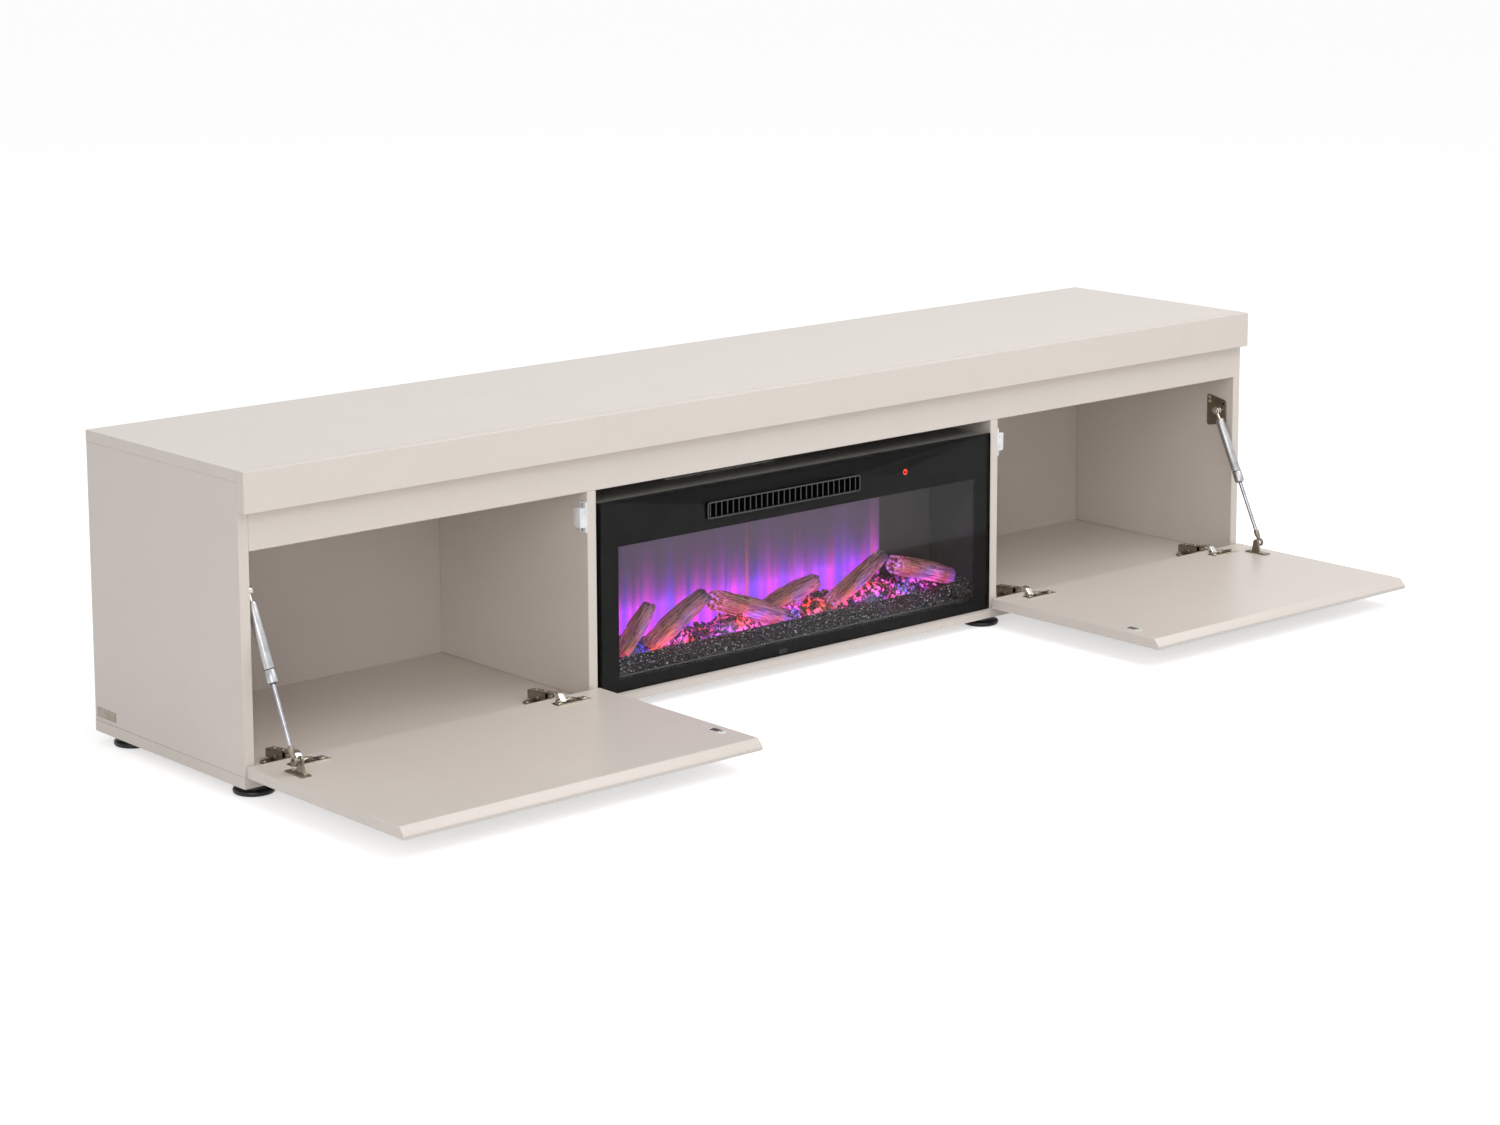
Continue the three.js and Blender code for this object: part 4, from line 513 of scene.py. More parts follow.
# Jagged ends
JAG_REACH = 5.0
JAG_ROUND = 1.9
JAG_POWER = 6
# Shifts of the noise from log to log
OFFSET_X = 7.3
OFFSET_Y = 3.1
FURROW_SHIFT = 1.7
JAG_SHIFT = 4.4
# The heights between which the light from the bed dies away on a log
GLOW_LOW = 76.0
GLOW_HIGH = 146.0
TIP_SHARE = 0.26
# Light from below, in patches, and char towards the ends
UNDER_LIMIT = 0.8
PATCH_LEAST = 0.6
PATCH_SCALE = 0.03
LOW_GLOW = 0.16
CHAR_START = 2.3
CHAR_FADE = 0.38
CHAR_GRAIN = 1.8


def linear(colour):
    """An sRGB colour of 0 to 255 as the linear one that shaders take."""
    shares = [c / 255 for c in colour]
    return [s / 12.92 if s <= 0.04045 else ((s + 0.055) / 1.055) ** 2.4 for s in shares] + [1.0]


def tone(value):
    return (value, value, value, 1.0)


def dimmed(colour, share):
    """A linear colour with a share of its light."""
    return [c * share for c in colour[:3]] + [1.0]


# Materials


class Shader:
    """A material's node tree, with short ways to add nodes and join them."""

    def __init__(self, name):
        self.material = bpy.data.materials.new(name)
        self.material.use_nodes = True
        self.tree = self.material.node_tree
        self.body = self.tree.nodes["Principled BSDF"]
        self.out = self.tree.nodes["Material Output"]
        self.place = self.add("ShaderNodeTexCoord").outputs["Object"]

    def fill(self, socket, value):
        """Joins another node's output to a socket, or else sets the socket's own value."""
        if hasattr(value, "is_linked"):
            self.tree.links.new(value, socket)
        else:
            socket.default_value = value

    def add(self, kind, inputs=(), **settings):
        node = self.tree.nodes.new(kind)
        for key, value in settings.items():
            setattr(node, key, value)
        for key, value in dict(inputs).items():
            self.fill(node.inputs[key], value)
        return node

    def set(self, **values):
        """Fills sockets of the main shader, named with _ for a space."""
        for key, value in values.items():
            self.fill(self.body.inputs[key.replace("_", " ")], value)
        return self

    def noise(self, scale, detail=4.0, roughness=0.55, stretch=None, distortion=0.0):
        place = self.place
        if stretch:
            place = self.add("ShaderNodeMapping", {"Vector": place, "Scale": stretch}).outputs["Vector"]
        inputs = {"Vector": place, "Scale": scale, "Detail": detail, "Roughness": roughness}
        inputs["Distortion"] = distortion
        return self.add("ShaderNodeTexNoise", inputs).outputs["Fac"]

    def cell_edges(self, scale):
        inputs = {"Vector": self.place, "Scale": scale}
        return self.add("ShaderNodeTexVoronoi", inputs, feature="DISTANCE_TO_EDGE").outputs["Distance"]

    def attribute(self, name):
        return self.add("ShaderNodeAttribute", attribute_name=name).outputs["Fac"]

    def axes(self):
        return self.add("ShaderNodeSeparateXYZ", {"Vector": self.place}).outputs

    def ramp(self, value, stops):
        node = self.add("ShaderNodeValToRGB", {"Fac": value})
        elements = node.color_ramp.elements
        while len(elements) < len(stops):
            elements.new(HALF)
        for element, (position, colour) in zip(elements, stops):
            element.position = position
            element.color = colour
        return node.outputs["Color"]

    def math(self, operation, *values, clamp=False):
        node = self.add("ShaderNodeMath", enumerate(values), operation=operation, use_clamp=clamp)
        return node.outputs["Value"]

    def times(self, *values):
        total = values[0]
        for value in values[1:]:
            total = self.math("MULTIPLY", total, value)
        return total

    def plus(self, *values):
        total = values[0]
        for value in values[1:]:
            total = self.math("ADD", total, value)
        return total

    def span(self, value, low, high, to_low=0.0, to_high=1.0):
        inputs = enumerate((value, low, high, to_low, to_high))
        return self.add("ShaderNodeMapRange", inputs).outputs["Result"]

    def vary(self, grain, to_low, to_high):
        """Spreads the middle range of a noise from one value to another."""
        return self.span(grain, *GRAIN_RANGE, to_low, to_high)

    def mix(self, factor, first, second, blend="MIX"):
        inputs = {0: factor, 6: first, 7: second}
        return self.add("ShaderNodeMix", inputs, data_type="RGBA", blend_type=blend).outputs[2]

    def bump(self, height, strength, distance):
        inputs = {"Height": height, "Strength": strength, "Distance": distance}
        return self.set(Normal=self.add("ShaderNodeBump", inputs).outputs["Normal"])


def make_laminate(name, light):
    """Matt board facing: an even tone with a fine speckle and the faint orange peel of the press plate."""
    shader = Shader(name)
    speckle = shader.noise(900.0, 3.0, 0.6)
    cloud = shader.noise(9.0, 3.0)
    fine = shader.ramp(speckle, ((0.38, linear(BOARD_DEEP_COLOUR)), (0.58, linear(light))))
    shader.set(Base_Color=shader.mix(shader.vary(cloud, 0.0, 0.5), fine, linear(light)))
    shader.set(Roughness=shader.vary(speckle, 0.30, 0.40))
    shader.set(Specular_IOR_Level=0.45)
    peel = shader.plus(shader.noise(420.0, 2.0), shader.times(speckle, 0.5))
    return shader.bump(peel, 0.08, PEEL_DEPTH).material


def make_metal(name, colour, rough, metallic, brush=(1.0, 1.0, 1.0)):
    """Plated steel: tone and gloss vary with a fine rolled grain, with a few dull spots."""
    shader = Shader(name)
    grain = shader.noise(900.0, 5.0, 0.6, stretch=brush)
    spots = shader.noise(70.0, 4.0)
    base = linear(colour)
    dark = dimmed(base, 1 - METAL_WEAR - METAL_WEAR)
    shader.set(Base_Color=shader.ramp(spots, ((0.32, dark), (0.6, base))))
    shader.set(Roughness=shader.vary(grain, rough * 0.75, rough * 1.3))
    shader.set(Metallic=metallic)
    return shader.bump(grain, 0.06, GRAIN_DEPTH).material


def make_plastic(name, colour, rough, grain_scale, depth, shine):
    """Moulded plastic or painted sheet with a fine grain and slightly uneven gloss."""
    shader = Shader(name)
    grain = shader.noise(grain_scale, 2.0)
    cloud = shader.noise(35.0, 3.0)
    base = linear(colour)
    deep = dimmed(base, 0.85)
    shader.set(Base_Color=shader.ramp(cloud, ((0.35, deep), (0.65, base))))
    shader.set(Roughness=shader.vary(cloud, rough * 0.9, rough * 1.12))
    shader.set(Specular_IOR_Level=shine)
    return shader.bump(grain, depth, GRAIN_DEPTH).material


def make_glass():
    """Clear pane: see-through, with a weak mirror over its window; the border behind it has its own gloss."""
    shader = Shader("glass_pane")
    clear = shader.add("ShaderNodeBsdfTransparent", {"Color": tone(GLASS_CLEAR)})
    smear = shader.ramp(shader.noise(14.0, 5.0, 0.6), ((0.3, tone(0.8)), (0.7, tone(0.95))))
    gloss = shader.add("ShaderNodeBsdfGlossy", {"Color": smear, "Roughness": GLASS_ROUGH})
    rim = shader.add("ShaderNodeFresnel", {"IOR": GLASS_IOR}).outputs["Fac"]
    axes = shader.axes()
    low, high = WINDOW_Z
    inside = shader.times(
        shader.span(shader.math("ABSOLUTE", axes["X"]), WINDOW_HALF + PANE_BLEND, WINDOW_HALF),
        shader.span(axes["Z"], low - PANE_BLEND, low),
        shader.span(axes["Z"], high + PANE_BLEND, high),
    )
    parts = {0: shader.times(rim, inside), 1: clear.outputs["BSDF"], 2: gloss.outputs["BSDF"]}
    pane = shader.add("ShaderNodeMixShader", parts).outputs["Shader"]
    shader.fill(shader.out.inputs["Surface"], pane)
    shader.tree.nodes.remove(shader.body)
    return shader.material


def make_flames():
    """Frosted screen with a broad violet glow at its foot that fades upwards in soft upright streaks."""
    shader = Shader("flame_screen_lit")
    axes = shader.axes()
    across = axes["X"]
    left, right = FLAME_X
    left_edge, right_edge = FLAME_EDGES
    edge = shader.times(
        shader.span(across, left, left + left_edge),
        shader.span(across, right, right - right_edge),
    )
    height = shader.math("SUBTRACT", axes["Z"], FLAME_FOOT)
    tongues = shader.noise(1.0, 3.0, 0.55, stretch=(46.0, 1.0, 1.4), distortion=0.2)
    fine = shader.noise(1.0, 2.0, 0.5, stretch=(85.0, 1.0, 1.6))
    short, tall = FLAME_FADES
    fade = shader.span(tongues, 0.34, 0.64, -1 / short, -1 / tall)
    glow = shader.math("MINIMUM", shader.math("EXPONENT", shader.times(height, fade)), 1.25)
    glow = shader.times(glow, shader.vary(fine, 0.5, 0.85), edge)
    hue = shader.ramp(shader.noise(1.0, 2.0, 0.5, stretch=(34.0, 1.0, 0.9)), FLAME_HUES)
    red = None
    for place, strength in RED_STREAKS:
        off = shader.math("ABSOLUTE", shader.math("SUBTRACT", across, place))
        streak = shader.times(shader.math("POWER", shader.span(off, RED_STREAK_WIDTH, 0.0), 1.6), strength)
        red = streak if red is None else shader.math("MAXIMUM", red, streak)
    rise = shader.math("MINIMUM", shader.math("EXPONENT", shader.times(height, -1 / RED_FADE)), 1.0)
    red = shader.times(red, rise, 0.86)
    light = shader.mix(1.0, shader.mix(glow, UNLIT, hue), shader.mix(edge, UNLIT, HAZE_COLOUR), "ADD")
    light = shader.mix(red, light, RED_COLOUR)
    shader.set(Emission_Color=light)
    shader.set(Emission_Strength=FLAME_POWER)
    frost = shader.noise(420.0, 2.0)
    # The screen's grey is darker at its foot and lighter towards its top: painted light from above.
    pale = shader.times(
        shader.span(axes["Z"], *SCREEN_Z, *SCREEN_PAINTED_GREYS),
        shader.vary(frost, 0.97, 1.03),
    )
    shader.set(Base_Color=shader.ramp(pale, ((0.0, tone(0.0)), (1.0, (1.0, 0.96, 0.99, 1.0)))))
    shader.set(Roughness=0.55, Specular_IOR_Level=0.15)
    return shader.material


def make_bark():
    """Split, charred resin log: pink-brown grain along the log, light grain lines and painted pale glints,
    dark cracks, lit from below.
    """
    shader = Shader("bark")
    fibre = shader.noise(1.0, 6.0, 0.72, stretch=(14.0, 260.0, 260.0), distortion=0.6)
    lines = shader.noise(1.0, 4.0, 0.6, stretch=(22.0, 620.0, 620.0), distortion=0.3)
    rift = shader.noise(1.0, 3.0, 0.5, stretch=(9.0, 120.0, 120.0), distortion=0.4)
    crack = shader.math("ABSOLUTE", shader.math("SUBTRACT", rift, HALF))
    brown = shader.ramp(shader.plus(shader.times(fibre, 0.62), shader.times(lines, 0.38)), BARK_BROWNS)
    char = shader.span(crack, 0.002, 0.014)
    ends = shader.attribute("char")
    wood = shader.mix(char, CRACK_TONE, brown)
    burnt = shader.times(ends, shader.span(fibre, 0.35, 0.6, 1.0, 0.5))
    wood = shader.mix(burnt, wood, BURNT_TONE)
    shader.set(Base_Color=wood)
    shader.set(Roughness=shader.span(fibre, 0.4, 0.62, 0.55, 0.18))
    shader.set(Specular_IOR_Level=0.8)
    hue = shader.ramp(shader.noise(21.0, 2.0), BARK_HUES)
    hue = shader.mix(shader.span(shader.axes()["X"], *BLUE_END_X, 1.0, 0.0), hue, BLUE_EMBER)
    lit = shader.times(shader.attribute("glow"), shader.span(fibre, 0.36, 0.6, 0.25, 1.0), char)
    fleck = shader.span(shader.noise(190.0, 3.0, 0.6), 0.46, 0.62)
    tip = shader.times(shader.attribute("tip"), fleck)
    shader.set(Emission_Color=shader.mix(tip, hue, TIP_HUE))
    shader.set(Emission_Strength=shader.plus(shader.times(lit, BARK_GLOW), shader.times(tip, TIP_GLOW)))
    height = shader.plus(fibre, shader.times(lines, 0.4), shader.times(char, 0.5))
    return shader.bump(height, 1.0, BARK_DEPTH).material


def make_embers(name, power, low, high):
    """Charcoal with light showing through it in places: pink, violet, blue and red."""
    shader = Shader(name)
    lump = shader.noise(150.0, 4.0, 0.62)
    shader.set(Base_Color=shader.ramp(lump, ((0.35, tone(0.006)), (0.7, (0.10, 0.055, 0.06, 1.0)))))
    hue = shader.ramp(shader.noise(24.0, 2.0), EMBER_HUES)
    hue = shader.mix(shader.span(shader.axes()["X"], *BLUE_END_X, 1.0, 0.0), hue, BLUE_EMBER)
    hot = shader.math("POWER", shader.span(lump, low, high), 2.4, clamp=True)
    patch = shader.span(shader.noise(42.0, 3.0, 0.6), 0.40, 0.57, 0.08, 1.0)
    shader.set(Emission_Color=hue)
    shader.set(Emission_Strength=shader.times(hot, patch, power))
    shader.set(Roughness=0.25, Specular_IOR_Level=0.8)
    return shader.bump(lump, 0.6, LUMP_DEPTH).material


def make_crystal():
    """Crushed black and clear glass: near-black chips with bright ones here and there."""
    shader = Shader("crushed_glass")
    chip = shader.attribute("shade")
    veins = shader.noise(500.0, 3.0)
    value = shader.plus(chip, shader.vary(veins, -0.06, 0.06))
    shader.set(Base_Color=shader.ramp(value, [(share, tone(grey)) for share, grey in CHIP_GREYS]))
    shader.set(Roughness=0.07, Specular_IOR_Level=1.0)
    return shader.bump(veins, 0.2, VEIN_DEPTH).material


def make_housing_sheet():
    """Black sheet metal; its top side under the cabinet's rail is painted a lighter grey, a painted
    reflection.
    """
    shader = Shader("housing_sheet")
    cloud = shader.noise(35.0, 3.0)
    lifted = linear([c + SHEET_LIFT for c in SHEET_COLOUR])
    inner = shader.ramp(cloud, ((0.35, linear(SHEET_COLOUR)), (0.65, lifted)))
    # Above the housing's top height the colour turns to a lighter grey, a painted reflection.
    top = shader.span(shader.axes()["Z"], *SHEET_TOP_Z)
    shader.set(Base_Color=shader.mix(top, inner, linear(SHEET_TOP_PAINTED_REFLECTION)))
    shader.set(Roughness=shader.vary(cloud, 0.3, 0.38))
    shader.set(Specular_IOR_Level=0.5)
    return shader.bump(shader.noise(900.0, 2.0), 0.05, GRAIN_DEPTH).material


def make_glow(name, colour, strength):
    """A small lamp behind a lens, brighter in places of its grain."""
    shader = Shader(name)
    grain = shader.noise(800.0, 2.0)
    base = linear(colour)
    shader.set(Base_Color=shader.ramp(grain, ((0.3, base), (0.7, dimmed(base, 0.8)))))
    shader.set(Emission_Color=base, Roughness=0.3)
    shader.set(Emission_Strength=shader.span(grain, 0.2, 0.8, strength * 0.85, strength * 1.15))
    return shader.material


def make_circuit():
    """Green circuit board with copper tracks under the lacquer."""
    shader = Shader("circuit_board")
    track = shader.cell_edges(260.0)
    stops = ((0.02, (0.22, 0.16, 0.05, 1.0)), (0.05, (0.01, 0.07, 0.03, 1.0)))
    shader.set(Base_Color=shader.ramp(track, stops))
    shader.set(Roughness=0.3)
    return shader.bump(track, 0.2, TRACK_DEPTH).material


MATERIALS = {
    "housing": make_housing_sheet(),
    "glass": make_glass(),
    "flames": make_flames(),
    "bark": make_bark(),
    "embers": make_embers("embers", EMBER_POWER, 0.50, 0.68),
    "bed": make_embers("ember_bed", BED_POWER, 0.36, 0.6),
    "crystal": make_crystal(),
    "circuit": make_circuit(),
    "red_light": make_glow("red_light", RED_LIGHT_COLOUR, 1.6),
}
for make, table in ((make_laminate, LAMINATES), (make_metal, METALS), (make_plastic, PLASTICS)):
    for look, *settings in table:
        MATERIALS[look] = make(*settings)


# Solids in millimetres


def eased(part, width, steps=2):
    """Rounds every edge of a solid that turns by more than the limit."""
    limit = math.radians(EASE_ANGLE)
    turned_edges = [e for e in part.edges if e.is_manifold and e.calc_face_angle(0.0) > limit]
    bmesh.ops.bevel(
        part,
        geom=turned_edges,
        offset=width,
        segments=steps,
        profile=HALF,
        affect="EDGES",
        clamp_overlap=True,
    )
    return part


def slab(x, y, z, ease=0.0):
    part = bmesh.new()
    bmesh.ops.create_cube(part, size=1.0)
    low, high = zip(x, y, z)
    sizes = [b - a for a, b in zip(low, high)]
    middle = [(a + b) * HALF for a, b in zip(low, high)]
    bmesh.ops.scale(part, vec=sizes, verts=part.verts)
    bmesh.ops.translate(part, vec=middle, verts=part.verts)
    return eased(part, ease) if ease else part


def turned(profile, sides=40):
    """A solid turned round Z from (radius, height) points, from axis to axis or else a closed ring."""
    part = bmesh.new()
    angles = [math.tau * i / sides for i in range(sides)]
    rings = []
    for radius, height in profile:
        if radius == 0:
            rings.append([part.verts.new((0, 0, height))] * sides)
        else:
            places = [(radius * math.cos(a), radius * math.sin(a), height) for a in angles]
            rings.append([part.verts.new(place) for place in places])
    if profile[0][0] != 0:
        rings.append(rings[0])
    for low, high in zip(rings, rings[1:]):
        for i in range(sides):
            j = (i + 1) % sides
            corners = list(dict.fromkeys((low[i], low[j], high[j], high[i])))
            if len(corners) > 2:
                part.faces.new(corners)
    bmesh.ops.recalc_face_normals(part, faces=part.faces)
    return part


def plate(points, thickness, ease=0.0):
    """A flat piece with the outline of the points in X and Y, from height 0 up to the thickness."""
    part = bmesh.new()
    base = part.faces.new([part.verts.new((x, y, 0)) for x, y in points])
    top = bmesh.ops.extrude_face_region(part, geom=[base])
    raised = [v for v in top["geom"] if isinstance(v, bmesh.types.BMVert)]
    bmesh.ops.translate(part, vec=(0, 0, thickness), verts=raised)
    bmesh.ops.recalc_face_normals(part, faces=part.faces)
    return eased(part, ease) if ease else part


def rounded(width, depth, radius):
    """The outline of a rectangle with round corners, round the origin."""
    corners = ((1, -1, -1), (1, 1, 0), (-1, 1, 1), (-1, -1, 2))
    points = []
    for x_way, y_way, quarter in corners:
        for i in range(CORNER_STEPS + 1):
            angle = (quarter + i / CORNER_STEPS) * math.pi * HALF
            x = x_way * (width * HALF - radius) + radius * math.cos(angle)
            y = y_way * (depth * HALF - radius) + radius * math.sin(angle)
            points.append((x, y))
    return points


def moved(x, y, z=0):
    return Matrix.Translation((x, y, z))


def along(start, end):
    """The placement that puts a solid's origin at start with its Z axis toward end."""
    way = Vector(end) - Vector(start)
    return Matrix.Translation(start) @ way.to_track_quat("Z", "Y").to_matrix().to_4x4()


def rod(start, end, radius, sides=24, ease=0.0):
    length = (Vector(end) - Vector(start)).length
    profile = [(0, 0), (radius, 0), (radius, length), (0, length)]
    if ease:
        profile[1:3] = [(radius - ease, 0), (radius, ease), (radius, length - ease), (radius - ease, length)]
    part = turned(profile, sides)
    bmesh.ops.transform(part, matrix=along(start, end), verts=part.verts)
    return part


class Form:
    """Solids in millimetres gathered into one mesh, each with its own look."""

    def __init__(self, *looks):
        self.shape = bmesh.new()
        self.looks = looks

    def add(self, part, look=0, matrix=None):
        if matrix is not None:
            bmesh.ops.transform(part, matrix=matrix, verts=part.verts)
        for face in part.faces:
            face.material_index = look
        mesh = bpy.data.meshes.new("part")
        part.to_mesh(mesh)
        part.free()
        self.shape.from_mesh(mesh)
        bpy.data.meshes.remove(mesh)
        return self

    def add_node(self, node, ease, steps=2):
        """The node's own shape with its edges eased."""
        part = bmesh.new()
        part.from_mesh(NODES[node].data)
        bmesh.ops.scale(part, vec=(1 / MM, 1 / MM, 1 / MM), verts=part.verts)
        bmesh.ops.remove_doubles(part, verts=part.verts, dist=MM)
        flat = math.radians(PLANE_ANGLE)
        bmesh.ops.dissolve_limit(part, angle_limit=flat, verts=part.verts, edges=part.edges)
        return self.add(eased(part, ease, steps))

    def screw(self, place, toward, radius, look):
        """A domed head with a cross recess, its face toward the given direction."""
        matrix = along(place, Vector(place) + Vector(toward)) @ Matrix.Scale(radius, 4)
        part = bmesh.new()
        part.from_mesh(SCREW_HEAD)
        return self.add(part, look, matrix)

    def finish(self, name, body, replaced=(), slot=None, smooth=SHARP_ANGLE):
        bmesh.ops.scale(self.shape, vec=(MM, MM, MM), verts=self.shape.verts)
        mesh = bpy.data.meshes.new(name)
        self.shape.to_mesh(mesh)
        self.shape.free()
        return new_piece(name, mesh, self.looks, body, replaced, smooth)

    def stand_for(self, node, ending, smooth=SHARP_ANGLE):
        """Takes the place of a node, on its body."""
        return self.finish(node + ending, BODY_OF[node], (node,), SLOT_OF[node], smooth)


def flatten(piece):
    """Shades the faces square to an axis flat, so that eased edges leave no gradient on them."""
    for polygon in piece.data.polygons:
        if max(abs(share) for share in polygon.normal) > SQUARE_LIMIT:
            polygon.use_smooth = False


def linked(name, data):
    """A new object in the scene."""
    piece = bpy.data.objects.new(name, data)
    bpy.context.scene.collection.objects.link(piece)
    return piece


def mesh_of(name, corners, faces):
    mesh = bpy.data.meshes.new(name)
    mesh.from_pydata(corners, [], faces)
    return mesh


def new_piece(name, mesh, looks, body, replaced=(), smooth=SHARP_ANGLE, matrix=None):
    piece = linked(name, mesh)
    if matrix is not None:
        piece.matrix_world = matrix
    for look in looks:
        mesh.materials.append(MATERIALS[look])
    if smooth:
        mesh.shade_smooth()
        mesh.set_sharp_from_angle(angle=math.radians(smooth))
    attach(piece, body)
    if replaced:
        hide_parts(*replaced)
    return piece


def solid_object(name, part):
    mesh = bpy.data.meshes.new(name)
    part.to_mesh(mesh)
    part.free()
    return linked(name, mesh)


def make_screw_head():
    """A head of radius 1 with a cross cut into it, once, for all screws."""
    head = solid_object("screw_head", turned(HEAD_PROFILE, HEAD_SIDES))
    reach, width = (-CROSS_REACH, CROSS_REACH), (-CROSS_HALF_WIDTH, CROSS_HALF_WIDTH)
    for number, (x, y) in enumerate(((reach, width), (width, reach))):
        cutter = solid_object("screw_cross_%d" % number, slab(x, y, CROSS_Z))
        modifier = head.modifiers.new("cross", "BOOLEAN")
        modifier.operation = "DIFFERENCE"
        modifier.object = cutter
    graph = bpy.context.evaluated_depsgraph_get()
    mesh = bpy.data.meshes.new_from_object(head.evaluated_get(graph))
    for piece in [o for o in bpy.data.objects if o.name.startswith("screw_")]:
        bpy.data.objects.remove(piece)
    return mesh


SCREW_HEAD = make_screw_head()


# Cabinet


def shade_flap_land(piece):
    """The narrow upright face along a flap's free edge gets a greyer tone, painted shade."""
    for polygon in piece.data.polygons:
        if polygon.normal.y < -SQUARE_LIMIT and polygon.center.y < SHADED_LAND_FRONT_Y:
            polygon.material_index = 1


def dress_cabinet():
    for node in BOARD_NODES:
        piece = Form("board", "edge_band").add_node(node, BOARD_EASE).stand_for(node, "_eased")
        flatten(piece)
        if node.endswith("_flap"):
            shade_flap_land(piece)
    for node in NODES:
        if node.endswith("_back_panel"):
            dress_node(node, "back")
        elif node.startswith("foot_"):
            low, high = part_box(node)
            place = moved((low[0] + high[0]) * HALF / MM, (low[1] + high[1]) * HALF / MM)
            Form("black").add(turned(FOOT_PROFILE, FOOT_SIDES), 0, place).stand_for(node, "_turned")
    form = Form("plate", "screw").add_node("side_plate", PLATE_EASE)
    for y, z in PLATE_RIVETS:
        seat = along((PLATE_X + RIVET_SEAT, y, z), (PLATE_X, y, z))
        form.add(turned(RIVET_PROFILE, RIVET_SIDES), 1, seat)
    form.stand_for("side_plate", "_riveted")


def dress_node(node, look):
    materials = NODES[node].data.materials
    materials.clear()
    materials.append(MATERIALS[look])


# Hinges


def dog_bone():
    """The mounting plate's outline: two round ends with a narrower middle."""
    points = []
    for way in (1, -1):
        for i in range(BONE_POINTS):
            angle = math.radians(BONE_START + BONE_STEP * i)
            across = WING_REACH + WING_RADIUS * math.cos(angle)
            points.append((way * across, way * WING_RADIUS * math.sin(angle)))
        points.append((way * WING_WAIST, way * WING_WAIST))
        points.append((-way * WING_WAIST, way * WING_WAIST))
    return points


def upright_section(points, half_width):
    """A solid across X from points in Y and Z."""
    part = plate(points, half_width + half_width)
    turn = Matrix(((0, 0, 1, -half_width), (1, 0, 0, 0), (0, 1, 0, 0), (0, 0, 0, 1)))
    bmesh.ops.transform(part, matrix=turn, verts=part.verts)
    bmesh.ops.recalc_face_normals(part, faces=part.faces)
    return part


def make_hinge_arm(node, x):
    form = Form("nickel", "screw", "nickel_light")
    rear = [point for point in ARM_SIDE if point[0] > REAR_FROM_Y]
    form.add(eased(upright_section(rear, ARM_HALF_WIDTH), ARM_EASE), 0, moved(x, 0))
    nose = [point for point in ARM_SIDE if point[0] < NOSE_TO_Y]
    cheek = (ARM_HALF_WIDTH - FORK_HALF_WIDTH) * HALF
    for way in (-1, 1):
        place = moved(x + way * (ARM_HALF_WIDTH - cheek), 0)
        form.add(eased(upright_section(nose, cheek), cheek * HALF), 0, place)
        for spot, (start, end), radius, sides in ARM_HEADS:
            head = rod((x + way * start, *spot), (x + way * end, *spot), radius, sides, ARM_HEAD_EASE)
            form.add(head, 1)
        form.screw((x + way * WING_SCREW_REACH, WING_Y, WING_SCREW_Z), UP, SCREW_RADIUS, 1)
    form.add(plate(dog_bone(), WING_THICKNESS, SHEET_EASE), 0, moved(x, WING_Y, FLOOR_TOP))
    # The washers take the lighter copy of the nickel, a painted highlight.
    for y, z in ARM_SCREWS:
        form.add(turned(ARM_WASHER, ARM_WASHER_SIDES), 2, moved(x, y, z))
        form.screw((x, y, z + ARM_SCREW_RISE), UP, ARM_SCREW_RADIUS, 1)
    form.stand_for(node, "_pressed")


def make_hinge_link(node, x):
    form = Form("bright", "nickel_light")
    form.add(eased(upright_section(LINK_SIDE, LINK_HALF_WIDTH), LINK_EASE), 0, moved(x, 0))
    # The eyes take the lighter copy of the nickel, a painted highlight.
    for y, z in (ARM_PIN, CUP_PIN):
        for way in (-1, 1):
            start = x + way * (LINK_HALF_WIDTH - LINK_EYE_SEAT)
            end = x + way * (LINK_HALF_WIDTH + LINK_EYE_REACH)
            form.add(rod((start, y, z), (end, y, z), LINK_EYE_RADIUS, LINK_EYE_SIDES, LINK_EYE_EASE), 1)
    form.stand_for(node, "_pressed")


def make_hinge_cup(node, x):
    # The rims, pads, lip and pin take the lighter copy of the nickel, a painted highlight; the flange wings
    # take the darker copy, painted shade.
    form = Form("nickel", "screw", "nickel_light", "nickel_dark")
    place = moved(x, FLANGE_Y, FLAP_TOP)
    form.add(turned(CUP_PROFILE, CUP_SIDES), 0, moved(x, CUP_CENTRE_Y))
    long, deep = WING_SIZE
    pad_size, pad_radius, pad_height = FLANGE_PAD
    for way in (-1, 1):
        at_wing = place @ moved(way * WING_OFF, 0)
        rim = plate(rounded(long, deep, FLANGE_RADIUS), RIM_THICKNESS, RIM_THICKNESS * HALF)
        form.add(rim, 2, at_wing)
        outline = rounded(long - RIM_WIDTH, deep - RIM_WIDTH, FLANGE_RADIUS)
        form.add(plate(outline, FLANGE_THICKNESS, RIM_THICKNESS), 3, at_wing)
        pad = plate(rounded(pad_size, pad_size, pad_radius), pad_height, RIM_THICKNESS)
        form.add(pad, 2, place @ moved(way * FLANGE_SCREW_X, 0))
        form.screw((x + way * FLANGE_SCREW_X, FLANGE_Y, FLAP_TOP + pad_height), UP, SCREW_RADIUS, 1)
    lip = plate(rounded(*LIP_SIZE, LIP_RADIUS), LIP_THICKNESS, RIM_THICKNESS)
    form.add(lip, 2, place @ moved(0, -LIP_OFF))
    ends = [(x + way * CUP_PIN_HALF, *CUP_PIN) for way in (-1, 1)]
    form.add(rod(*ends, CUP_PIN_RADIUS, CUP_PIN_SIDES), 2)
    form.stand_for(node, "_pressed")


# Gas struts


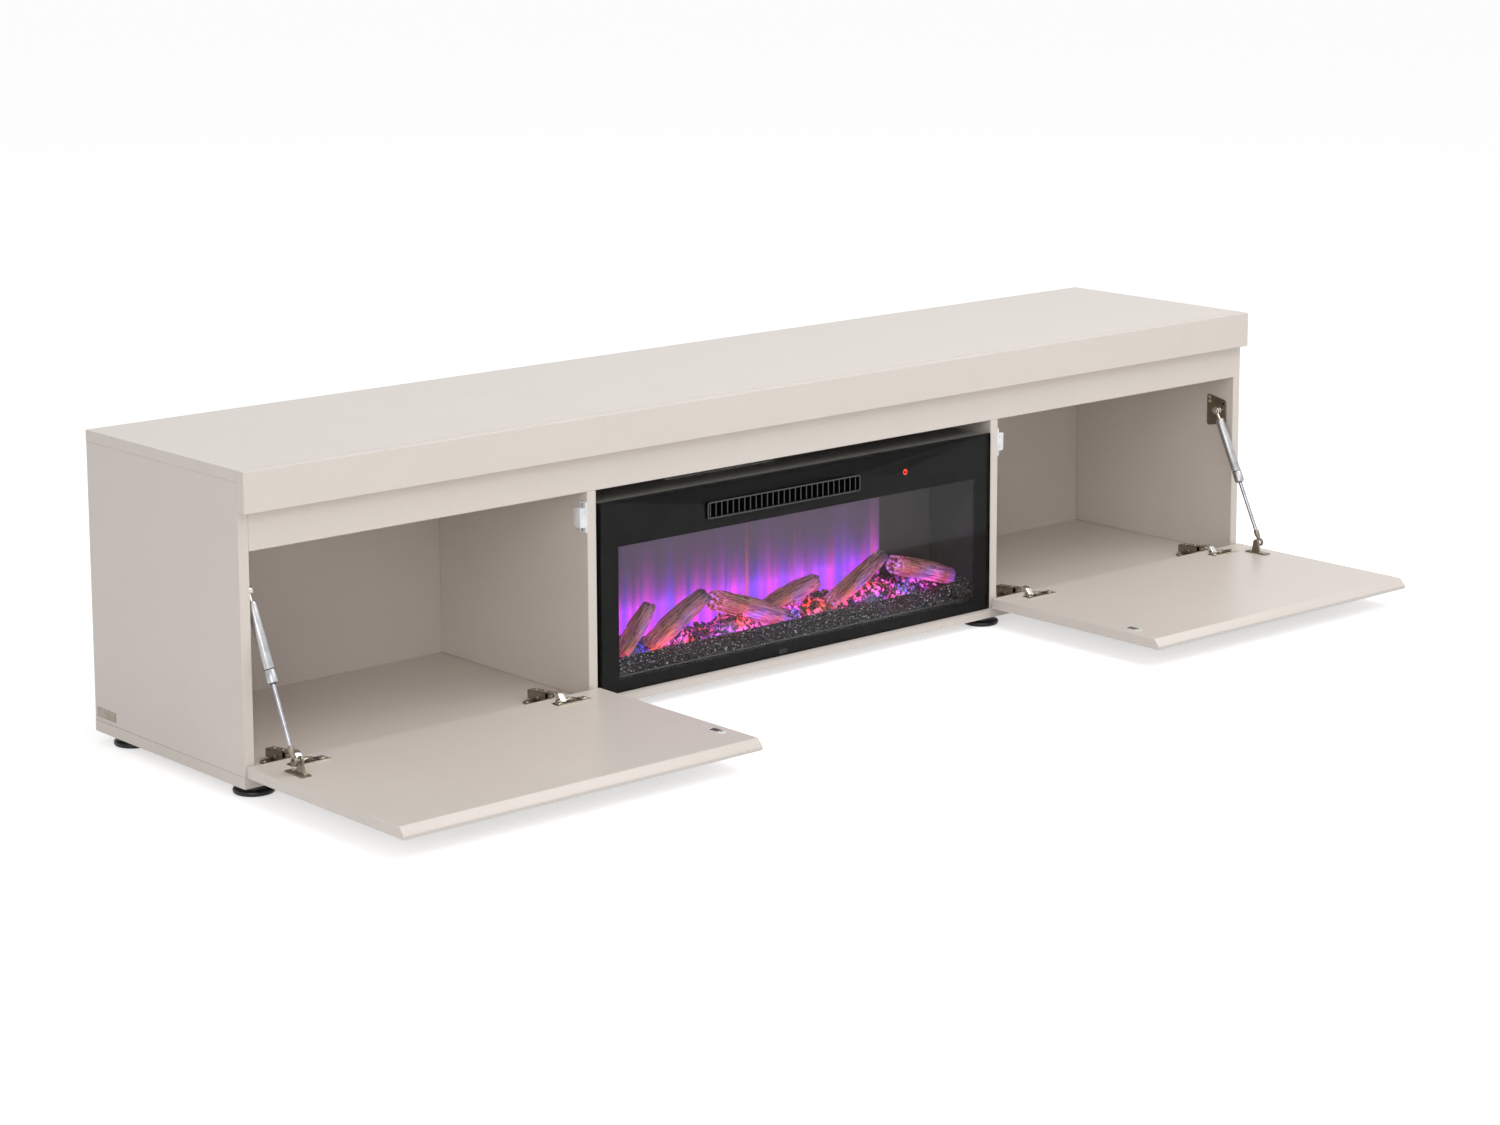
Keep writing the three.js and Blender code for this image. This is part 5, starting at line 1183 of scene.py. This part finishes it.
def make_strut(side, way):
    x = way * STRUT_X
    down = along((x, *STRUT_PIN), (x, *STRUT_EYE))
    for piece, looks, parts, pivot, ring_look in STRUT_PIECES:
        form = Form(*looks)
        for profile, sides, look in parts:
            form.add(turned(profile, sides), look, down)
        form.add(turned(RING_PROFILE, RING_SIDES), ring_look, along((x, *pivot), (x + way, *pivot)))
        form.stand_for(side + "_strut_" + piece, "_turned")


def softened(corners, radius):
    """An outline with its corners rounded by arcs of about the radius."""
    points = []
    for index, corner in enumerate(corners):
        here = Vector(corner)
        before = (Vector(corners[index - 1]) - here).normalized() * radius
        after = (Vector(corners[(index + 1) % len(corners)]) - here).normalized() * radius
        for step in range(SOFT_STEPS + 1):
            share = step / SOFT_STEPS
            points.append(here + before * (1 - share) ** 2 + after * share**2)
    return points


def make_side_bracket(side, way):
    form = Form("nickel", "brass", "bright", "receiver")
    half = BRACKET_THICKNESS * HALF
    sheet = eased(upright_section(softened(BRACKET_CORNERS, BRACKET_RADIUS), half), SHEET_EASE)
    form.add(sheet, 0, moved(way * (SIDE_INNER - half), 0))
    face = way * (SIDE_INNER - BRACKET_THICKNESS)
    ends = ((face, *STRUT_PIN), (way * BRACKET_PIN_X, *STRUT_PIN))
    form.add(rod(*ends, BRACKET_PIN_RADIUS, BRACKET_PIN_SIDES, BRACKET_PIN_EASE), 2)
    for y, z in BRACKET_SCREWS:
        form.screw((face - way * BRACKET_SCREW_RISE, y, z), (-way, 0, 0), BRACKET_SCREW_RADIUS, 1)
    # A near-black disc sits in the hole: painted shade where the hole looks dark.
    ends = ((face, *BRACKET_HOLE), (face - way * BRACKET_HOLE_RISE, *BRACKET_HOLE))
    form.add(rod(*ends, BRACKET_HOLE_RADIUS), 3)
    for reach in WASHER_REACHES:
        x = way * (STRUT_X + reach)
        form.add(turned(WASHER_PROFILE, WASHER_SIDES), 2, along((x, *STRUT_PIN), (x + way, *STRUT_PIN)))
    form.stand_for(side + "_strut_side_bracket", "_pressed")


def make_flap_bracket(side, way):
    node = side + "_strut_flap_bracket"
    form = Form("nickel", "brass").add_node(node, SHEET_EASE)
    low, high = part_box(node)
    x = (low[0] + high[0]) * HALF / MM - way * FLAP_BRACKET_SHIFT
    for off in FLAP_BRACKET_SCREWS:
        place = (x, STRUT_EYE[0] + off, FLAP_TOP + FLAP_BRACKET_RISE)
        form.screw(place, UP, FLAP_BRACKET_SCREW_RADIUS, 1)
    form.stand_for(node, "_pressed")


# Catches


def make_catch(side, way):
    node = side + "_catch"
    form = Form("white", "bright", "screw").add_node(node, CATCH_EASE)
    span_y = [CATCH_FRONT_Y + y for y in SLOT_SPAN_Y]
    span_z = (CATCH_Z - SLOT_REACH_Z, CATCH_Z + SLOT_REACH_Z)
    for x in CATCH_SLOTS_X:
        span_x = sorted((way * (x - SLOT_HALF_WIDTH), way * (x + SLOT_HALF_WIDTH)))
        form.add(slab(span_x, span_y, span_z, INLAY_EASE), 1)
    for off in (-CATCH_EAR_OFF, CATCH_EAR_OFF):
        x, y = way * (DIVIDER_OUTER + CATCH_SCREW_OUT), CATCH_FRONT_Y + CATCH_SCREW_BACK
        form.screw((x, y, CATCH_Z + off), (way, 0, 0), CATCH_SCREW_RADIUS, 2)
    form.stand_for(node, "_moulded")
    node = side + "_strike_plate"
    form = Form("white", "nickel", "screw").add_node(node, STRIKE_EASE)
    x = way * STRIKE_X
    form.add(slab(*STRIKE_CAP, INLAY_EASE), 1, moved(x, STRIKE_Y, FLAP_TOP + STRIKE_CAP_RISE))
    for off in (-STRIKE_SCREW_OFF, STRIKE_SCREW_OFF):
        form.screw((x, STRIKE_Y + off, FLAP_TOP + STRIKE_SCREW_RISE), UP, STRIKE_SCREW_RADIUS, 2)
    form.stand_for(node, "_capped")


def dress_fittings():
    for side, way in SIDES:
        for x, place in zip(HINGE_X, ("inner", "outer")):
            make_hinge_arm("%s_%s_hinge_arm" % (side, place), way * x)
            make_hinge_link("%s_%s_hinge_link" % (side, place), way * x)
            make_hinge_cup("%s_%s_hinge_cup" % (side, place), way * x)
        make_strut(side, way)
        make_side_bracket(side, way)
        make_flap_bracket(side, way)
        make_catch(side, way)


# Fireplace insert


def between(span, share):
    low, high = span
    return low + (high - low) * share


def clamp(value):
    return min(1.0, max(0.0, value))


def add_values(mesh, key, values):
    mesh.attributes.new(key, "FLOAT", "POINT").data.foreach_set("value", values)


def rock(dice):
    """The corners and faces of one broken chip of radius about 1."""
    part = bmesh.new()
    for _ in range(ROCK_POINTS):
        way = Vector([dice.gauss(0, 1) for _ in range(3)]).normalized()
        part.verts.new(way * dice.uniform(*ROCK_RADII))
    hull = bmesh.ops.convex_hull(part, input=part.verts)
    spare = [v for v in hull["geom_interior"] if isinstance(v, bmesh.types.BMVert)]
    bmesh.ops.delete(part, geom=spare, context="VERTS")
    part.verts.index_update()
    corners = [v.co.copy() for v in part.verts]
    faces = [[v.index for v in f.verts] for f in part.faces]
    part.free()
    return corners, faces


def scattered(name, places, dice, look):
    """One mesh of many chips at (centre, size) places in millimetres, each with a shade of its own."""
    shapes = [rock(dice) for _ in range(SHAPE_COUNT)]
    corners, faces, shades = [], [], []
    for centre, size in places:
        points, sides = dice.choice(shapes)
        turn = Euler([dice.uniform(0, math.tau) for _ in range(3)]).to_matrix()
        stretch = Vector((1, dice.uniform(SQUASH, 1), dice.uniform(SQUASH, 1))) * size
        start = len(corners)
        shade = dice.random()
        for point in points:
            corners.append(tuple((Vector(centre) + turn @ (point * stretch)) * MM))
            shades.append(shade)
        faces.extend([[start + i for i in side] for side in sides])
    mesh = mesh_of(name, corners, faces)
    add_values(mesh, "shade", shades)
    new_piece(name, mesh, (look,), "cabinet", smooth=0.0)


def make_gravel():
    dice = random.Random(GRAVEL_SEED)
    places = []
    for _ in range(GRAVEL_COUNT):
        share = dice.random()
        x = dice.uniform(-GRAVEL_X, GRAVEL_X)
        z = between(GRAVEL_Z, share) + dice.uniform(*GRAVEL_ROUGH)
        places.append(((x, between(GRAVEL_Y, share), z), dice.uniform(*GRAVEL_SIZE)))
    centre_x, centre_y, reach, height = PILE
    for _ in range(PILE_COUNT):
        angle, share = dice.uniform(0, math.tau), math.sqrt(dice.random())
        x = centre_x + reach * share * math.cos(angle)
        y = centre_y + reach * share * math.sin(angle)
        z = GRAVEL_Z[0] + PILE_RISE + height * (1 - share) * HALF + dice.uniform(0.0, PILE_ROUGH)
        places.append(((min(x, GRAVEL_X), max(y, GRAVEL_Y[0]), z), dice.uniform(*GRAVEL_SIZE)))
    scattered("gravel_chips", places, dice, "crystal")
    dress_node("gravel_tray", "crystal")


def bed_height(x, y):
    height = between(BED_Z, (y - BED_Y[0]) / (BED_Y[1] - BED_Y[0]))
    for centre_x, centre_y, long, deep, tall in HEAPS:
        inside = 1 - ((x - centre_x) / long) ** 2 - ((y - centre_y) / deep) ** 2
        if inside > 0:
            height = max(height, BED_Z[0] + tall * math.sqrt(inside))
    return height


def make_embers_bed():
    dice = random.Random(EMBER_SEED)
    places = []
    for _ in range(EMBER_COUNT):
        x = dice.uniform(*EMBER_X)
        y = dice.uniform(*BED_Y)
        size = dice.uniform(*EMBER_SIZE)
        places.append(((x, y, bed_height(x, y) + size * dice.uniform(*EMBER_LIFT)), size))
    scattered("embers", places, dice, "embers")
    corners, faces = [], []
    for row in range(BED_ROWS + 1):
        y = between(BED_Y, row / BED_ROWS)
        for column in range(BED_COLUMNS + 1):
            x = between((-BED_X, BED_X), column / BED_COLUMNS)
            rough = BED_ROUGH * noise.fractal(Vector((x, y, 0)) * BED_GRAIN, *BED_FRACTAL)
            corners.append((x * MM, y * MM, (bed_height(x, y) + rough) * MM))
    step = BED_COLUMNS + 1
    for row in range(BED_ROWS):
        for column in range(BED_COLUMNS):
            first = row * step + column
            faces.append((first, first + 1, first + step + 1, first + step))
    mesh = mesh_of("ember_bed", corners, faces)
    new_piece("ember_bed", mesh, ("bed",), "cabinet", ("log_set",), BED_SHARP)


def make_log(name, centre, length, radius, turn, tilt, light, seed):
    """A split log along X with furrows and jagged ends; its points carry light, char and a lit left end."""
    dice = random.Random(seed)
    facets = [(dice.uniform(0, math.tau), dice.uniform(*FACET_DEPTHS)) for _ in range(FACET_COUNT)]
    bend = dice.uniform(-LOG_BEND, LOG_BEND)
    matrix = (
        Matrix.Translation(Vector(centre) * MM)
        @ Matrix.Rotation(math.radians(turn), 4, "Z")
        @ Matrix.Rotation(math.radians(-tilt), 4, "Y")
    )
    corners, faces, glows, chars, tips = [], [], [], [], []
    offset = Vector((seed * OFFSET_X, seed * OFFSET_Y, 0))
    for ring in range(LOG_RINGS + 1):
        share = ring / LOG_RINGS
        away = abs(share - HALF) * 2
        thick = radius * (1.0 - LOG_TAPER * (share - LOG_BELLY) ** 2)
        close = min(share, 1 - share) * LOG_RINGS
        end = min(1.0, (close + END_START) / END_RINGS) ** HALF
        sag = bend * (1 - away**2)
        for side in range(LOG_SIDES):
            angle = math.tau * side / LOG_SIDES
            way = Vector((0, math.cos(angle), math.sin(angle)))
            spot = Vector((share * length * GRAIN_ALONG, way.y * GRAIN_ROUND, way.z * GRAIN_ROUND))
            grain = noise.fractal(spot + offset, *GRAIN_FRACTAL)
            reach = thick * (1.0 + GRAIN_LIFT * grain)
            for place, depth in facets:
                facing = math.cos(angle - place)
                limit = thick * (depth + FACET_LIFT * grain)
                if facing * reach > limit:
                    reach = limit / facing
            spot = Vector((share * FURROW_ALONG, angle * FURROW_ROUND, seed * FURROW_SHIFT))
            reach *= 1.0 - FURROW_DEPTH * (1.0 - min(1.0, abs(noise.noise(spot)) * FURROW_STEEP))
            spot = Vector((angle * JAG_ROUND, seed * JAG_SHIFT, round(share)))
            jag = JAG_REACH * noise.noise(spot) * away ** (JAG_POWER + 1)
            x = (share - HALF) * length + (jag if share > HALF else -jag)
            local = Vector((x, way.y * reach * end, way.z * reach * end + sag)) * MM
            corners.append(local)
            at = matrix @ local / MM
            out = (matrix.to_3x3() @ way).normalized()
            low = 1 - clamp((at.z - GLOW_LOW) / (GLOW_HIGH - GLOW_LOW))
            patch = PATCH_LEAST + noise.noise(at * PATCH_SCALE + offset)
            glows.append(max(0.0, low * low * clamp(UNDER_LIMIT - out.z) * patch + LOW_GLOW * low))
            chars.append(clamp(CHAR_START - close * CHAR_FADE + grain * CHAR_GRAIN))
            tips.append(light * max(0.0, 1 - share / TIP_SHARE))
    for ring in range(LOG_RINGS):
        first, second = ring * LOG_SIDES, (ring + 1) * LOG_SIDES
        for side in range(LOG_SIDES):
            following = (side + 1) % LOG_SIDES
            faces.append((first + side, first + following, second + following, second + side))
    faces.append(tuple(reversed(range(LOG_SIDES))))
    last = LOG_RINGS * LOG_SIDES
    faces.append(tuple(range(last, last + LOG_SIDES)))
    mesh = mesh_of(name, [tuple(c) for c in corners], faces)
    for key, values in (("glow", glows), ("char", chars), ("tip", tips)):
        add_values(mesh, key, values)
    new_piece(name, mesh, ("bark",), "cabinet", smooth=LOG_SHARP, matrix=matrix)


def make_insert_front():
    form = Form("glass", "glass_edge", "receiver").add_node("front_glass", PANE_EASE, 1)
    # The pane's upward edge faces take the grey, painted light; its other edge faces take the receiver's
    # near-black, painted shade.
    for face in form.shape.faces:
        if abs(face.normal.y) < FACE_LIMIT:
            face.material_index = 1 if face.normal.z > FACE_LIMIT else 2
    form.stand_for("front_glass", "_pane", PANE_SHARP)
    dress_node("front_mask", "mask")
    form = Form("louvre", "louvre_edge").add_node("outlet_grille", PANE_EASE, 1)
    # The louvres' front faces take the grey, a painted highlight; the rest keep the deeper black, partly
    # painted shade.
    for face in form.shape.faces:
        if face.normal.y < -FACE_LIMIT:
            face.material_index = 1
    form.stand_for("outlet_grille", "_moulded")
    x, z = TOUCH_PLACE
    form = Form("red_light", "receiver")
    form.add(turned(TOUCH_PROFILE), 0, along((x, TOUCH_Y, z), (x, GLASS_FACE_Y, z)))
    form.add(slab(*TOUCH_BAR), 0, moved(x, TOUCH_Y, z))
    x, z = RECEIVER_PLACE
    window = plate(rounded(*RECEIVER_SIZE, RECEIVER_RADIUS), RECEIVER_THICKNESS)
    form.add(window, 1, along((x, RECEIVER_Y, z), (x, GLASS_FACE_Y, z)))
    form.finish("touch_ring_and_receiver", "cabinet", slot="front_glass")


def make_insert_inside():
    for node, look in INSIDE_LOOKS:
        dress_node(node, look)
    # Near-white rims round the housing's holes: partly their bare punched edges, partly a painted highlight.
    form = Form("hole_rim")
    for row in range(HOLE_ROWS):
        for column in range(HOLE_COLUMNS):
            x = HOLES_LEFT_X + column * HOLE_PITCH + (row % 2) * HOLE_STAGGER
            y = HOLES_FRONT_Y + row * HOLE_ROW_PITCH
            form.add(turned(RIM_PROFILE, RIM_SIDES), 0, moved(x, y, HOUSING_TOP))
    form.finish("housing_hole_rims", "cabinet", slot="black_sheet")


def dress_insert():
    make_insert_front()
    make_insert_inside()
    make_gravel()
    make_embers_bed()
    for number, log in enumerate(LOGS):
        make_log("log_%d" % (number + 1), *log, number + LOG_SEED)


# Camera, lamps, floor and world


def make_camera():
    data = bpy.data.cameras.new("camera")
    data.lens = CAMERA_LENS
    data.sensor_width = CAMERA_SENSOR
    data.shift_x = CAMERA_SHIFT_X
    data.shift_y = CAMERA_SHIFT_Y
    data.clip_end = FLOOR_REACH + FLOOR_REACH
    camera = linked("camera", data)
    camera.location = CAMERA_PLACE
    camera.rotation_euler = Euler(CAMERA_TURN)
    bpy.context.scene.camera = camera


def make_lamps():
    for name, place, aim, width, power in LAMPS:
        data = bpy.data.lights.new(name, "AREA")
        data.size = width
        data.energy = power
        lamp = linked(name, data)
        lamp.location = place
        lamp.rotation_euler = (Vector(aim) - Vector(place)).to_track_quat("-Z", "Y").to_euler()


def seen_directly(tree):
    """1 for rays from the camera, a mirror or through glass, 0 for rays that light something."""
    path = tree.nodes.new("ShaderNodeLightPath")
    total = path.outputs["Is Camera Ray"]
    for other in ("Is Glossy Ray", "Is Transmission Ray"):
        node = tree.nodes.new("ShaderNodeMath")
        node.operation = "MAXIMUM"
        tree.links.new(total, node.inputs[0])
        tree.links.new(path.outputs[other], node.inputs[1])
        total = node.outputs["Value"]
    return total


def make_world():
    world = bpy.data.worlds.new("world")
    bpy.context.scene.world = world
    world.use_nodes = True
    tree = world.node_tree
    background = tree.nodes["Background"]
    background.inputs["Color"].default_value = tone(1.0)
    strength = tree.nodes.new("ShaderNodeMapRange")
    strength.inputs["To Min"].default_value = WORLD_STRENGTH
    strength.inputs["To Max"].default_value = 1.0
    tree.links.new(seen_directly(tree), strength.inputs["Value"])
    tree.links.new(strength.outputs["Result"], background.inputs["Strength"])


def make_floor():
    reach = FLOOR_REACH
    corners = [(-reach, -reach, 0), (reach, -reach, 0), (reach, reach, 0), (-reach, reach, 0)]
    floor = linked("floor", mesh_of("floor", corners, [(0, 1, 2, 3)]))
    shader = Shader("floor")
    shader.set(Base_Color=tone(FLOOR_TONE), Roughness=FLOOR_ROUGH, Specular_IOR_Level=FLOOR_SHINE)
    shader.set(Emission_Color=tone(1.0))
    shader.set(Emission_Strength=shader.times(seen_directly(shader.tree), FLOOR_GLOW))
    floor.data.materials.append(shader.material)


make_camera()
make_world()
make_floor()
make_lamps()
dress_cabinet()
dress_fittings()
dress_insert()
bpy.context.scene.view_settings.view_transform = "Standard"
